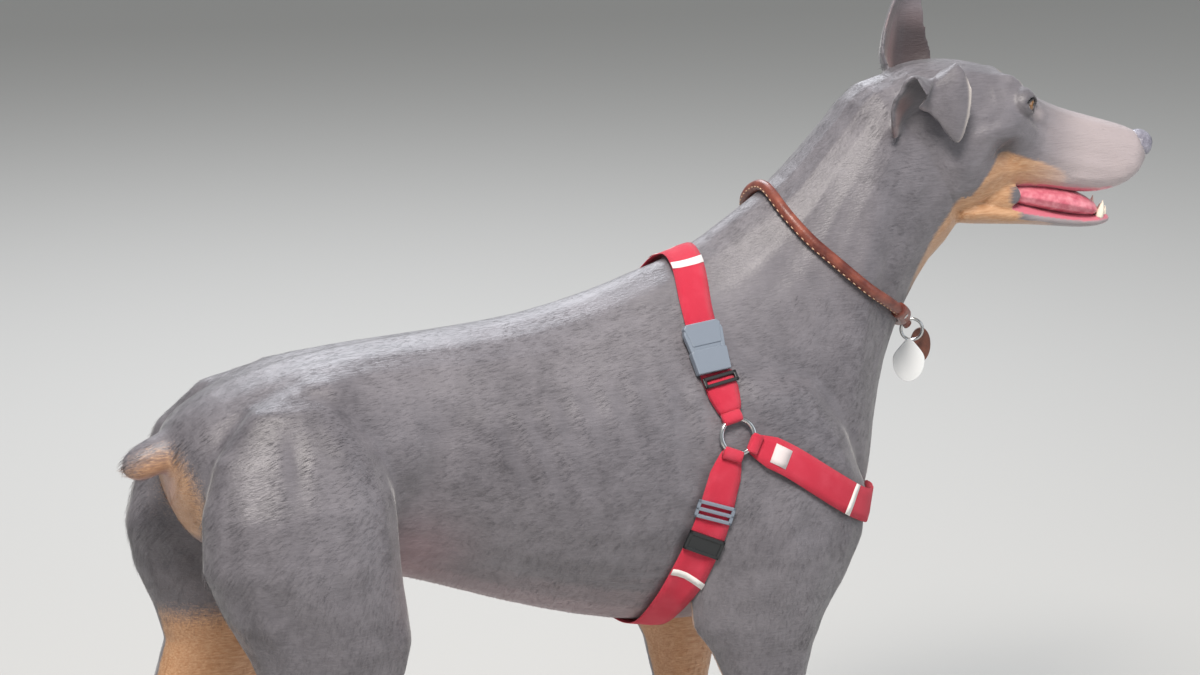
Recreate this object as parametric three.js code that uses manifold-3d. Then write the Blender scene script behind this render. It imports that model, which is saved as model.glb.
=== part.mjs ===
// A life-size standing dog of the tall, short-haired Doberman form, in millimetres, +Z up, nose towards +X.
// The body is lofted through named stations, swelled into muscles, and parted with thin cuts into
// head, jaw, neck, torso, tail, legs and ears. It wears a rolled leather collar and a webbing harness.
import * as THREE from "three";
import { LoftGeometry } from "three/addons/geometries/LoftGeometry.js";
import { mergeVertices } from "three/addons/utils/BufferGeometryUtils.js";
import Module from "manifold-3d";

const wasm = await Module();
wasm.setup();

// Driving dimensions. The stations below make a dog 675 mm tall at the withers.
const gap = 0.3;
const headPlace = { at: [178, -1, 768], pitchDown: 11, turnRight: 12 };
const eyeBall = { radius: 11, at: [114, 33.5, 46], outward: 40, upward: 6 };
const webbing = { width: 29, thickness: 2.6, clear: 2.5, sleeve: 14, sleeveRadius: 4.6, step: 14 };
const harnessRing = { radius: 15.5, wire: 2.3, clear: 7.5 };
const collarSize = { radius: 5, clear: 2.4 };
const strayLeg = { slope: 0.17, from: 510, most: 50 };

const colours = {
  blueCoat: 0x77747b,
  rustCoat: 0xb47c4e,
  noseLeather: 0x8d8a95,
  eyeAmber: 0x6b4a2a,
  tonguePink: 0xd98a9a,
  toothIvory: 0xe9e2cf,
  redWebbing: 0xe23b55,
  greyPlastic: 0x8f98a4,
  blackPlastic: 0x33373b,
  steel: 0xc4c6c8,
  brownLeather: 0x7d3f33,
  whiteEnamel: 0xf0f2f3,
};

const looks = {
  blueCoat: { roughness: 0.6, metalness: 0 },
  rustCoat: { roughness: 0.65, metalness: 0 },
  noseLeather: { roughness: 0.45, metalness: 0 },
  eyeAmber: { roughness: 0.12, metalness: 0 },
  tonguePink: { roughness: 0.4, metalness: 0 },
  toothIvory: { roughness: 0.3, metalness: 0 },
  redWebbing: { roughness: 0.8, metalness: 0 },
  greyPlastic: { roughness: 0.4, metalness: 0 },
  blackPlastic: { roughness: 0.45, metalness: 0 },
  steel: { roughness: 0.25, metalness: 1 },
  brownLeather: { roughness: 0.5, metalness: 0 },
  whiteEnamel: { roughness: 0.3, metalness: 0 },
};

const degrees = THREE.MathUtils.degToRad;
const vector = (point) => new THREE.Vector3(...point);

// Curves and closed geometry

// The value at a share of the way along a list of numbers, on a smooth curve through them all.
function alongCurve(values, share) {
  const last = values.length - 1;
  const place = Math.min(Math.max(share, 0), 1) * last;
  const i = Math.min(Math.floor(place), last - 1);
  const t = place - i;
  const before = values[Math.max(i - 1, 0)];
  const after = values[Math.min(i + 2, last)];
  const [a, b] = [values[i], values[i + 1]];
  const slopeA = (b - before) / 2;
  const slopeB = (after - a) / 2;
  const t2 = t * t;
  const t3 = t2 * t;
  const ends = a * (2 * t3 - 3 * t2 + 1) + b * (3 * t2 - 2 * t3);
  return ends + slopeA * (t3 - 2 * t2 + t) + slopeB * (t3 - t2);
}

// Shared vertices merged and collapsed faces dropped, so that the geometry is one closed surface that
// faces outwards.
function closed(geometry) {
  const bare = new THREE.BufferGeometry().copy(geometry);
  bare.deleteAttribute("normal");
  bare.deleteAttribute("uv");
  const merged = mergeVertices(bare, 1e-4);
  const places = merged.attributes.position;
  const faces = merged.index.array;
  const corners = [0, 1, 2].map(() => new THREE.Vector3());
  const kept = [];
  let volume = 0;
  for (let i = 0; i < faces.length; i += 3) {
    const [a, b, c] = [faces[i], faces[i + 1], faces[i + 2]];
    if (a === b || b === c || a === c) continue;
    kept.push(a, b, c);
    [a, b, c].forEach((index, k) => corners[k].fromBufferAttribute(places, index));
    volume += corners[0].dot(corners[1].cross(corners[2]));
  }
  if (volume < 0) {
    for (let i = 0; i < kept.length; i += 3) [kept[i], kept[i + 1]] = [kept[i + 1], kept[i]];
  }
  merged.setIndex(kept);
  return merged;
}

function solidOf(geometry) {
  const mesh = closed(geometry);
  return new wasm.Manifold(
    new wasm.Mesh({
      numProp: 3,
      vertProperties: new Float32Array(mesh.attributes.position.array),
      triVerts: new Uint32Array(mesh.index.array),
    }),
  );
}

// The largest closed surface of a solid, back as a geometry.
function geometryOf(solid) {
  const bodies = solid.decompose().sort((a, b) => b.volume() - a.volume());
  const mesh = bodies[0].getMesh();
  const positions = new Float32Array(mesh.numVert * 3);
  for (let i = 0; i < mesh.numVert; i++) {
    positions.set(mesh.vertProperties.subarray(i * mesh.numProp, i * mesh.numProp + 3), i * 3);
  }
  const geometry = new THREE.BufferGeometry();
  geometry.setAttribute("position", new THREE.BufferAttribute(positions, 3));
  geometry.setIndex(new THREE.BufferAttribute(mesh.triVerts, 1));
  return geometry;
}

const joined = (solids) => solids.reduce((whole, solid) => whole.add(solid));

// The same geometry pushed outwards along its normals, by a constant or by a rule of the place.
function pushed(geometry, amount) {
  const mesh = closed(geometry);
  mesh.computeVertexNormals();
  const places = mesh.attributes.position;
  const normals = mesh.attributes.normal;
  const place = new THREE.Vector3();
  const normal = new THREE.Vector3();
  const moved = places.clone();
  for (let i = 0; i < places.count; i++) {
    place.fromBufferAttribute(places, i);
    normal.fromBufferAttribute(normals, i);
    place.addScaledVector(normal, typeof amount === "number" ? amount : amount(place));
    moved.setXYZ(i, place.x, place.y, place.z);
  }
  const result = new THREE.BufferGeometry();
  result.setAttribute("position", moved);
  result.setIndex(mesh.index);
  return result;
}

const grown = (geometry, by = gap) => solidOf(pushed(geometry, by));

// Muscles and hollows: each lifts the skin by some millimetres round a place, on both sides of the body.
function muscled(geometry, swells) {
  return pushed(geometry, (place) =>
    swells.reduce((lift, swell) => {
      const [x, y, z] = swell.at;
      const [a, b, c] = swell.size;
      const far = ((place.x - x) / a) ** 2 + ((Math.abs(place.y) - y) / b) ** 2 + ((place.z - z) / c) ** 2;
      return lift + swell.lift * Math.exp(-far);
    }, 0),
  );
}

// A body lofted through stations. Each station has two ends in the side view, [x, z] each, a half width
// across, the share of the way up where it is widest, a sideways place, and how square each half is.
function bodyThrough(stations, { around, rings, side = 0 }) {
  const column = (read) => stations.map(read);
  const columns = [
    column((s) => s.low[0]),
    column((s) => s.low[1]),
    column((s) => s.high[0]),
    column((s) => s.high[1]),
    column((s) => s.half),
    column((s) => s.widest ?? 0.5),
    column((s) => s.side ?? side),
    column((s) => s.roundHigh ?? 1),
    column((s) => s.roundLow ?? 1),
  ];
  const steps = (stations.length - 1) * rings;
  const sections = [];
  for (let i = 0; i <= steps; i++) {
    const [lowX, lowZ, highX, highZ, half, widest, y, roundHigh, roundLow] = columns.map((values) =>
      alongCurve(values, i / steps),
    );
    const section = [];
    const end = i === 0 || i === steps;
    for (let j = 0; j < around; j++) {
      const angle = (2 * Math.PI * j) / around;
      const rise = Math.sin(angle);
      const power = rise > 0 ? roundHigh : roundLow;
      const across = Math.sign(Math.cos(angle)) * Math.abs(Math.cos(angle)) ** power;
      const up = Math.sign(rise) * Math.abs(rise) ** Math.min(1, power);
      const share = end ? widest : up > 0 ? widest + (1 - widest) * up : widest + widest * up;
      section.push(
        new THREE.Vector3(
          lowX + (highX - lowX) * share,
          y + (end ? 0 : half * across),
          lowZ + (highZ - lowZ) * share,
        ),
      );
    }
    sections.push(section);
  }
  return closed(new LoftGeometry(sections));
}

const mirrorSides = new THREE.Matrix4().makeScale(1, -1, 1);
const mirrored = (geometry) => closed(closed(geometry).applyMatrix4(mirrorSides));

// An ellipsoid with its long way along x, turned by degrees about y and then about z.
function ellipsoid(at, radii, { around = 12, tall = 8, tip = 0, turn = 0 } = {}) {
  const ball = new THREE.SphereGeometry(1, around, tall).rotateX(Math.PI / 2).scale(...radii);
  return ball.rotateY(degrees(tip)).rotateZ(degrees(turn)).translate(...at);
}

// Trunk: rump, loin, ribs, chest and neck

const trunkStations = [
  { low: [-530, 540], high: [-532, 556], half: 2 },
  { low: [-527, 505], high: [-528, 570], half: 34 },
  { low: [-508, 470], high: [-506, 588], half: 62 },
  { low: [-470, 446], high: [-466, 606], half: 78 },
  { low: [-420, 430], high: [-420, 617], half: 86, widest: 0.6 },
  { low: [-365, 422], high: [-370, 623], half: 84, widest: 0.56 },
  { low: [-310, 408], high: [-318, 626], half: 84, widest: 0.5 },
  { low: [-250, 386], high: [-260, 628], half: 92, widest: 0.48 },
  { low: [-182, 362], high: [-194, 633], half: 101, widest: 0.47, roundHigh: 1.1 },
  { low: [-110, 342], high: [-130, 645], half: 105, widest: 0.46, roundHigh: 1.15 },
  { low: [-38, 331], high: [-76, 660], half: 103, widest: 0.45, roundHigh: 1.25, roundLow: 1.05 },
  { low: [36, 332], high: [-30, 674], half: 97, widest: 0.45, roundHigh: 1.35, roundLow: 1.1 },
  { low: [96, 352], high: [8, 696], half: 92, widest: 0.42, roundHigh: 1.3, roundLow: 1.1 },
  { low: [138, 408], high: [42, 716], half: 84, widest: 0.42, roundHigh: 1.15 },
  { low: [150, 474], high: [70, 733], half: 74, widest: 0.46 },
  { low: [163, 540], high: [97, 757], half: 66, side: 0 },
  { low: [186, 596], high: [124, 785], half: 61, side: -1 },
  { low: [216, 640], high: [152, 812], half: 57, side: -2 },
  { low: [246, 672], high: [198, 816], half: 50, side: -4 },
  { low: [252, 720], high: [232, 780], half: 4, side: -6 },
];

const trunkSwells = [
  { at: [-30, 40, 655], size: [55, 30, 30], lift: 5 }, // shoulder blade's top
  { at: [-40, 96, 585], size: [60, 30, 60], lift: 4 }, // muscle behind the shoulder blade
  { at: [-150, 98, 470], size: [120, 30, 90], lift: 4 }, // sprung ribs
  { at: [-300, 70, 470], size: [60, 40, 60], lift: -8 }, // hollow of the flank
  { at: [-330, 60, 615], size: [80, 30, 25], lift: 3 }, // loin
  { at: [-410, 62, 612], size: [30, 24, 20], lift: 4 }, // point of the hip
  { at: [-490, 22, 500], size: [40, 16, 60], lift: -4 }, // groove under the tail
  { at: [148, 0, 470], size: [30, 26, 40], lift: 5 }, // breastbone's point
  { at: [130, 62, 600], size: [60, 30, 60], lift: 3 }, // long muscle of the neck
];

const trunkShape = muscled(bodyThrough(trunkStations, { around: 26, rings: 2 }), trunkSwells);

// Legs, written for the left side: low is the front edge and high the back edge of each level slice

const slice = (z, front, back, side, half, more = {}) => ({
  low: [front, z],
  high: [back, z],
  side,
  half,
  ...more,
});

const foreLegSlices = [
  slice(616, 8, -14, 38, 2),
  slice(596, 34, -44, 50, 15),
  slice(560, 66, -66, 74, 29),
  slice(510, 92, -76, 82, 35),
  slice(462, 108, -78, 85, 38),
  slice(418, 106, -74, 87, 38),
  slice(380, 88, -68, 88, 35),
  slice(350, 70, -60, 87, 30),
  slice(322, 56, -44, 85, 26),
  slice(286, 48, -26, 82, 23.5),
  slice(240, 38, -16, 79, 20.5),
  slice(196, 33, -10, 77, 18.5),
  slice(164, 35, -14, 76, 20),
  slice(142, 36, -16, 76, 19),
  slice(112, 36, -4, 76, 16.5),
  slice(80, 43, 2, 77, 17.5),
  slice(52, 58, 6, 78, 22),
  slice(30, 72, 8, 78, 26),
  slice(12, 70, 12, 78, 24),
  slice(4, 60, 22, 78, 4),
];

const hindLegSlices = [
  slice(606, -420, -440, 48, 2),
  slice(592, -392, -476, 58, 18),
  slice(556, -366, -512, 70, 33),
  slice(512, -354, -528, 78, 43),
  slice(466, -350, -530, 82, 47),
  slice(424, -348, -514, 85, 45),
  slice(386, -346, -492, 86, 40),
  slice(354, -352, -478, 85, 34),
  slice(318, -374, -484, 83, 28),
  slice(280, -412, -508, 81, 23),
  slice(244, -450, -540, 80, 19),
  slice(212, -486, -574, 79, 16.5),
  slice(188, -508, -592, 78, 16.5),
  slice(166, -518, -588, 78, 17),
  slice(140, -524, -576, 78, 15.5),
  slice(100, -526, -566, 78, 14.5),
  slice(68, -516, -562, 78, 16.5),
  slice(40, -494, -556, 78, 22),
  slice(18, -484, -548, 78, 24),
  slice(4, -496, -538, 78, 4),
];

const foreLegSwells = [
  { at: [20, 112, 420], size: [50, 30, 46], lift: 7 }, // triceps
  { at: [92, 106, 462], size: [26, 26, 34], lift: 4 }, // point of the shoulder
  { at: [66, 104, 520], size: [16, 20, 60], lift: 3 }, // ridge of the shoulder blade
  { at: [60, 108, 405], size: [16, 20, 40], lift: -4 }, // groove behind the upper arm
  { at: [46, 96, 300], size: [20, 20, 36], lift: 4 }, // forearm muscle
  { at: [-54, 84, 352], size: [16, 20, 16], lift: 5 }, // elbow
  { at: [-16, 76, 150], size: [9, 10, 9], lift: 4 }, // pad behind the wrist
];

const hindLegSwells = [
  { at: [-410, 120, 500], size: [50, 30, 70], lift: 6 }, // broad muscle of the thigh
  { at: [-490, 112, 470], size: [34, 26, 70], lift: 6 }, // hamstring
  { at: [-455, 122, 440], size: [14, 24, 70], lift: -5 }, // groove between them
  { at: [-356, 88, 372], size: [22, 22, 22], lift: 5 }, // kneecap
  { at: [-466, 96, 318], size: [24, 22, 36], lift: 5 }, // calf
  { at: [-520, 92, 232], size: [20, 14, 26], lift: -4 }, // hollow before the heel's tendon
  { at: [-520, 64, 232], size: [20, 12, 26], lift: -4 }, // and on the inside
  { at: [-584, 78, 188], size: [12, 14, 14], lift: 3 }, // point of the hock
];

// Four arched toes with blunt claws, fanned round the front of a foot whose middle is at [x, y]
const toeFan = [
  { turn: -20, reach: 30, spread: -18 },
  { turn: -6, reach: 40, spread: -7.5 },
  { turn: 6, reach: 40, spread: 7.5 },
  { turn: 20, reach: 30, spread: 18 },
];
const toeSize = { length: 21, half: 10.5, height: 15 };
const clawSize = { length: 15, radius: 3.6 };

function toesOf([x, y]) {
  return toeFan.flatMap(({ turn, reach, spread }) => {
    const toe = ellipsoid([x + reach, y + spread, 15], [toeSize.length, toeSize.half, toeSize.height], {
      around: 8,
      tall: 5,
      turn,
    });
    const claw = new THREE.ConeGeometry(clawSize.radius, clawSize.length, 6).rotateZ(-Math.PI / 2);
    claw.rotateY(degrees(28)).translate(toeSize.length + 2, 0, -1).rotateZ(degrees(turn));
    claw.translate(x + reach, y + spread, 14);
    return [solidOf(toe), solidOf(claw)];
  });
}

const belowFloor = solidOf(new THREE.BoxGeometry(2000, 800, 100).translate(0, 0, -50 + 1.5));

// A leg of the left side, stood on the flats of its toes and pad.
function legOf(slices, swells, footAt) {
  const limb = solidOf(muscled(bodyThrough(slices, { around: 16, rings: 1 }), swells));
  const pad = solidOf(ellipsoid([footAt[0] + 14, footAt[1], 10], [22, 17, 12], { around: 8, tall: 5 }));
  return joined([limb, pad, ...toesOf(footAt)]).subtract(belowFloor).translate([0, 0, -1.5]);
}

// The far hind leg stands a little further back: its lower part is swung towards the tail.
function swungBack(geometry) {
  const places = geometry.attributes.position;
  for (let i = 0; i < places.count; i++) {
    const drop = Math.max(0, strayLeg.from - places.getZ(i)) * strayLeg.slope;
    places.setX(i, places.getX(i) - strayLeg.most * Math.tanh(drop / strayLeg.most));
  }
  return geometry;
}

const foreLeg = geometryOf(legOf(foreLegSlices, foreLegSwells, [32, 78]));
const hindLeg = geometryOf(legOf(hindLegSlices, hindLegSwells, [-524, 78]));

// Head, in its own frame: x from the back of the skull to the nose, z up from the middle of the skull

const headStations = [
  { low: [-22, -14], high: [-24, 6], half: 3 },
  { low: [-16, -50], high: [-14, 42], half: 36 },
  { low: [6, -74], high: [4, 60], half: 48, widest: 0.56 },
  { low: [34, -84], high: [32, 69], half: 53, widest: 0.59, roundHigh: 0.92 },
  { low: [62, -82], high: [62, 72], half: 54, widest: 0.6, roundHigh: 0.88 },
  { low: [88, -70], high: [90, 70.5], half: 53, widest: 0.6, roundHigh: 0.85 },
  { low: [112, -52], high: [110, 65], half: 47.5, widest: 0.6, roundHigh: 0.85 },
  { low: [130, -39], high: [127, 56.5], half: 40, widest: 0.55, roundHigh: 0.85 },
  { low: [148, -33], high: [146, 48.5], half: 33, widest: 0.45, roundHigh: 0.85, roundLow: 0.8 },
  { low: [168, -31], high: [166, 43.5], half: 29, widest: 0.4, roundHigh: 0.8, roundLow: 0.7 },
  { low: [190, -31], high: [190, 40.5], half: 27, widest: 0.4, roundHigh: 0.78, roundLow: 0.7 },
  { low: [214, -28], high: [214, 38], half: 25, widest: 0.4, roundHigh: 0.78, roundLow: 0.7 },
  { low: [234, -20], high: [234, 35.5], half: 22.5, widest: 0.4, roundHigh: 0.8, roundLow: 0.75 },
  { low: [248, -9], high: [248, 31], half: 19, widest: 0.45, roundHigh: 0.85, roundLow: 0.85 },
  { low: [256, 2], high: [255, 26], half: 12, widest: 0.5 },
  { low: [258, 10], high: [258, 18], half: 2 },
];

const headSwells = [
  { at: [109, 29, 64], size: [15, 12, 11], lift: 4.5 }, // brow
  { at: [120, 0, 64], size: [26, 8, 14], lift: -3 }, // furrow between the brows
  { at: [94, 53, 20], size: [26, 14, 11], lift: 4 }, // cheekbone
  { at: [104, 50, -12], size: [20, 14, 14], lift: -5 }, // hollow under the cheekbone
  { at: [62, 52, -26], size: [26, 16, 26], lift: 4 }, // chewing muscle
  { at: [80, 46, 50], size: [18, 16, 14], lift: -2.5 }, // temple
  { at: [143, 33, 24], size: [14, 12, 14], lift: -3.5 }, // hollow before the eye
  { at: [196, 27, -12], size: [34, 12, 9], lift: 3 }, // hanging upper lip
  { at: [236, 20, -4], size: [14, 12, 12], lift: 2 }, // whisker pad
];

const jawStations = [
  { low: [70, -74], high: [70, -62], half: 3 },
  { low: [82, -76], high: [80, -50], half: 33 },
  { low: [112, -73], high: [108, -46], half: 32 },
  { low: [144, -69], high: [141, -48], half: 28 },
  { low: [176, -66], high: [172, -50], half: 24.5 },
  { low: [202, -64], high: [199, -50], half: 21.5 },
  { low: [222, -60], high: [220, -49], half: 18.5 },
  { low: [233, -55], high: [231, -48], half: 12 },
  { low: [236, -52], high: [236, -49], half: 1.5 },
];

const tongueStations = [
  { low: [112, -50], high: [112, -43], half: 3, side: 0 },
  { low: [122, -51], high: [122, -32], half: 20, side: 0 },
  { low: [146, -51], high: [146, -29], half: 24, side: -2 },
  { low: [172, -52], high: [172, -29], half: 25, side: -3 },
  { low: [196, -52], high: [197, -31], half: 23, side: -3 },
  { low: [214, -51], high: [216, -38], half: 17, side: -2 },
  { low: [222, -49.5], high: [223, -45], half: 3, side: -1 },
];

const headShape = muscled(bodyThrough(headStations, { around: 22, rings: 2 }), headSwells);
const jawShape = bodyThrough(jawStations, { around: 16, rings: 2 });
const tongueShape = bodyThrough(tongueStations, { around: 12, rings: 2 });

// A local frame at the eye, x looking out of it.
function eyeTurned(geometry, sign) {
  geometry.rotateY(degrees(-eyeBall.upward));
  geometry.rotateZ(degrees(sign * eyeBall.outward));
  const [x, y, z] = eyeBall.at;
  return geometry.translate(x, sign * y, z);
}

// The lids are a thin cap over the ball, with an almond opening cut along the way the eye looks.
const lid = { thickness: 3.2, halfLong: 11.5, halfTall: 6.6, slant: 14 };

function lidsOf(sign) {
  const cap = eyeTurned(new THREE.SphereGeometry(eyeBall.radius + lid.thickness, 16, 12), sign);
  return solidOf(cap);
}

function eyeOpening(sign) {
  const almond = new THREE.Shape();
  almond.moveTo(-lid.halfLong, 0);
  almond.quadraticCurveTo(-2, 2 * lid.halfTall, lid.halfLong, 0);
  almond.quadraticCurveTo(2, -2 * lid.halfTall, -lid.halfLong, 0);
  const bore = new THREE.ExtrudeGeometry(almond, { depth: 16, bevelEnabled: false, curveSegments: 7 });
  bore.rotateZ(degrees(sign * lid.slant)).rotateY(Math.PI / 2).rotateX(Math.PI / 2).translate(6, 0, 0);
  return solidOf(eyeTurned(bore, sign));
}

const eyeGeometry = (sign) => eyeTurned(new THREE.SphereGeometry(eyeBall.radius, 12, 9), sign);
const socketOf = (sign) =>
  solidOf(eyeTurned(new THREE.SphereGeometry(eyeBall.radius + 2 * gap, 12, 9), sign));

// Ears: a cupped leaf along a midline, with a side vector, half width, cup depth and thickness

const earStations = {
  left: [
    { at: [16, 28, 42], side: [-0.85, -0.5, 0], half: 24, cup: 15, thick: 5 },
    { at: [14, 37, 60], side: [-0.85, -0.5, 0], half: 35, cup: 20, thick: 4 },
    { at: [12, 42, 80], side: [-0.85, -0.5, 0], half: 31, cup: 15, thick: 3.4 },
    { at: [12, 46, 100], side: [-0.86, -0.48, 0], half: 24, cup: 11, thick: 3 },
    { at: [14, 49, 120], side: [-0.86, -0.46, 0], half: 17, cup: 7, thick: 2.6 },
    { at: [19, 52, 138], side: [-0.86, -0.44, 0], half: 11, cup: 4, thick: 2.3 },
    { at: [25, 54, 152], side: [-0.86, -0.42, 0.1], half: 4, cup: 2, thick: 1.8 },
  ],
  right: [
    { at: [6, -42, 12], side: [-0.5, 0, -0.86], half: 24, cup: 12, thick: 5 },
    { at: [2, -54, 28], side: [-0.6, 0, -0.8], half: 31, cup: 13, thick: 4 },
    { at: [3, -62, 45], side: [-0.75, 0, -0.6], half: 32, cup: 9, thick: 3.6 },
    { at: [11, -69, 57], side: [-0.95, 0, -0.3], half: 30, cup: 4, thick: 3.4 },
    { at: [23, -74, 49], side: [-0.85, 0, -0.53], half: 25, cup: 3, thick: 3 },
    { at: [32, -75, 36], side: [-0.85, 0, -0.53], half: 18, cup: 3, thick: 2.6 },
    { at: [39, -74, 20], side: [-0.85, 0, -0.53], half: 10, cup: 2, thick: 2.2 },
    { at: [44, -72, 6], side: [-0.85, 0, -0.53], half: 3, cup: 1, thick: 1.8 },
  ],
};

function earOf(stations, { across = 7, rings = 3 } = {}) {
  const midline = new THREE.CatmullRomCurve3(stations.map((s) => vector(s.at)), false, "catmullrom", 0.5);
  const read = (name, share) => alongCurve(stations.map((s) => s[name]), share);
  const steps = (stations.length - 1) * rings;
  const sections = [];
  for (let i = 0; i <= steps; i++) {
    const share = i / steps;
    const along = midline.getTangent(share);
    const side = new THREE.Vector3(
      ...[0, 1, 2].map((k) => alongCurve(stations.map((s) => s.side[k]), share)),
    );
    side.addScaledVector(along, -side.dot(along)).normalize();
    const out = new THREE.Vector3().crossVectors(along, side).normalize();
    const middle = midline.getPoint(share);
    const end = i === 0 || i === steps;
    const faces = [1, -1].map((face) => {
      const row = [];
      for (let j = 0; j < across; j++) {
        const a = (2 * j) / (across - 1) - 1;
        const wall = 0.5 * read("thick", share) * (0.25 + 0.75 * Math.sqrt(1 - a * a * 0.98));
        const point = middle.clone();
        if (!end) {
          point.addScaledVector(side, a * read("half", share));
          point.addScaledVector(out, read("cup", share) * (a * a - 0.5) + face * wall);
        }
        row.push(point);
      }
      return face > 0 ? row : row.reverse();
    });
    sections.push([...faces[0], ...faces[1]]);
  }
  return closed(new LoftGeometry(sections));
}

// Nose leather with its two nostrils
const noseShape = ellipsoid([251, 0, 22], [13.5, 15.5, 13], { around: 14, tall: 8, tip: 12 });
const nostril = (sign) =>
  solidOf(ellipsoid([263, sign * 7.6, 22], [8, 3.4, 4.2], { around: 8, tall: 6, turn: sign * 24 }));

// Lower teeth that the open lips show, set into the jaw: canines and the small front teeth between them
const canine = { at: [222, 12.5, -50], height: 15, radius: 3.4 };
const incisorPlaces = [-6.6, -2.2, 2.2, 6.6];

function lowerTeeth() {
  const tooth = (x, y, z, height, radius, lean) =>
    solidOf(
      new THREE.ConeGeometry(radius, height, 6)
        .rotateX(Math.PI / 2)
        .translate(0, 0, height / 2)
        .rotateY(degrees(lean))
        .translate(x, y, z),
    );
  const [x, y, z] = canine.at;
  const pair = [1, -1].map((sign) => tooth(x, sign * y, z, canine.height, canine.radius, 10));
  const row = incisorPlaces.map((side) => tooth(228, side, z, 9, 2.4, 18));
  return [...pair, ...row];
}

// Where the head sits on the neck

const headGroup = new THREE.Group();
headGroup.position.set(...headPlace.at);
headGroup.rotation.set(0, degrees(headPlace.pitchDown), -degrees(headPlace.turnRight), "ZYX");
headGroup.updateMatrixWorld(true);
const headMatrix = headGroup.matrixWorld.clone();
const inHead = headMatrix.clone().invert();

// Parting cuts

const trunkSolid = solidOf(trunkShape);
const legs = {
  leg_front_left: foreLeg,
  leg_front_right: mirrored(foreLeg),
  leg_hind_left: swungBack(closed(hindLeg)),
  leg_hind_right: mirrored(hindLeg),
};

// The neck leaves the torso on a slanting plane from the withers to the base of the throat.
const neckPlane = { through: [60, 0, 600], tilt: 52 };
const neckTilt = degrees(neckPlane.tilt);
const neckNormal = new THREE.Vector3(Math.cos(neckTilt), 0, Math.sin(neckTilt));
const neckOffset = neckNormal.dot(vector(neckPlane.through));
const frontPart = trunkSolid.trimByPlane(neckNormal.toArray(), neckOffset + gap / 2);
const backPart = trunkSolid.trimByPlane(neckNormal.clone().negate().toArray(), -neckOffset + gap / 2);

// The nose fills a seat in the muzzle, the jaw a seat in the cheeks, and the ears their roots.
const upperHead = joined([solidOf(headShape), lidsOf(1), lidsOf(-1)])
  .subtract(eyeOpening(1))
  .subtract(eyeOpening(-1))
  .subtract(socketOf(1))
  .subtract(socketOf(-1))
  .subtract(grown(noseShape));
const mouthHollow = solidOf(ellipsoid([168, 0, -40], [62, 24, 12], { around: 16, tall: 8 }));
const headCut = upperHead.subtract(grown(jawShape)).subtract(mouthHollow).subtract(grown(tongueShape));

const earShapes = { ear_left: earOf(earStations.left), ear_right: earOf(earStations.right) };
const jawWithTeeth = joined([solidOf(jawShape), ...lowerTeeth()]);
const tongueSolid = solidOf(tongueShape).subtract(
  joined([grown(jawShape), ...lowerTeeth().map((tooth) => grown(geometryOf(tooth)))]),
);
const jawGeometry = geometryOf(jawWithTeeth);

const neckSolid = frontPart
  .subtract(grown(closed(headShape).applyMatrix4(headMatrix)))
  .subtract(grown(closed(jawShape).applyMatrix4(headMatrix)));
const legCutters = joined(Object.values(legs).map((leg) => grown(leg)));
const torsoSolid = backPart.subtract(legCutters);
const neckClear = neckSolid.subtract(legCutters);

// Docked tail stump
const tailStations = [
  { low: [-500, 540], high: [-500, 560], half: 2 },
  { low: [-512, 538], high: [-506, 572], half: 17 },
  { low: [-530, 534], high: [-524, 570], half: 18 },
  { low: [-550, 528], high: [-546, 562], half: 15 },
  { low: [-564, 530], high: [-562, 554], half: 10 },
  { low: [-570, 538], high: [-570, 546], half: 1.5 },
];
const tailShape = bodyThrough(tailStations, { around: 14, rings: 2 });
const torsoBare = torsoSolid.subtract(grown(tailShape));
const tailSolid = solidOf(tailShape);

const torsoGeometry = geometryOf(torsoBare);
const neckGeometry = geometryOf(neckClear);

// What is worn lies on the body: each place is found by a ray towards a point inside it.

const bodyMeshes = [torsoGeometry, neckGeometry, legs.leg_front_right, legs.leg_front_left].map(
  (geometry) => new THREE.Mesh(geometry, new THREE.MeshStandardMaterial({ side: THREE.DoubleSide })),
);
const rayCaster = new THREE.Raycaster();
const rayLength = 300;

function surfaceAlong(place, outward) {
  rayCaster.set(place.clone().addScaledVector(outward, rayLength), outward.clone().negate());
  const hits = rayCaster.intersectObjects(bodyMeshes);
  return hits.length > 0 ? rayLength - hits[0].distance : -Infinity;
}

const outwardFrom = (place, inside) => place.clone().sub(inside).normalize();
const trunkInside = (place) => new THREE.Vector3(Math.min(place.x, 60), 0, 480);

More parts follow.
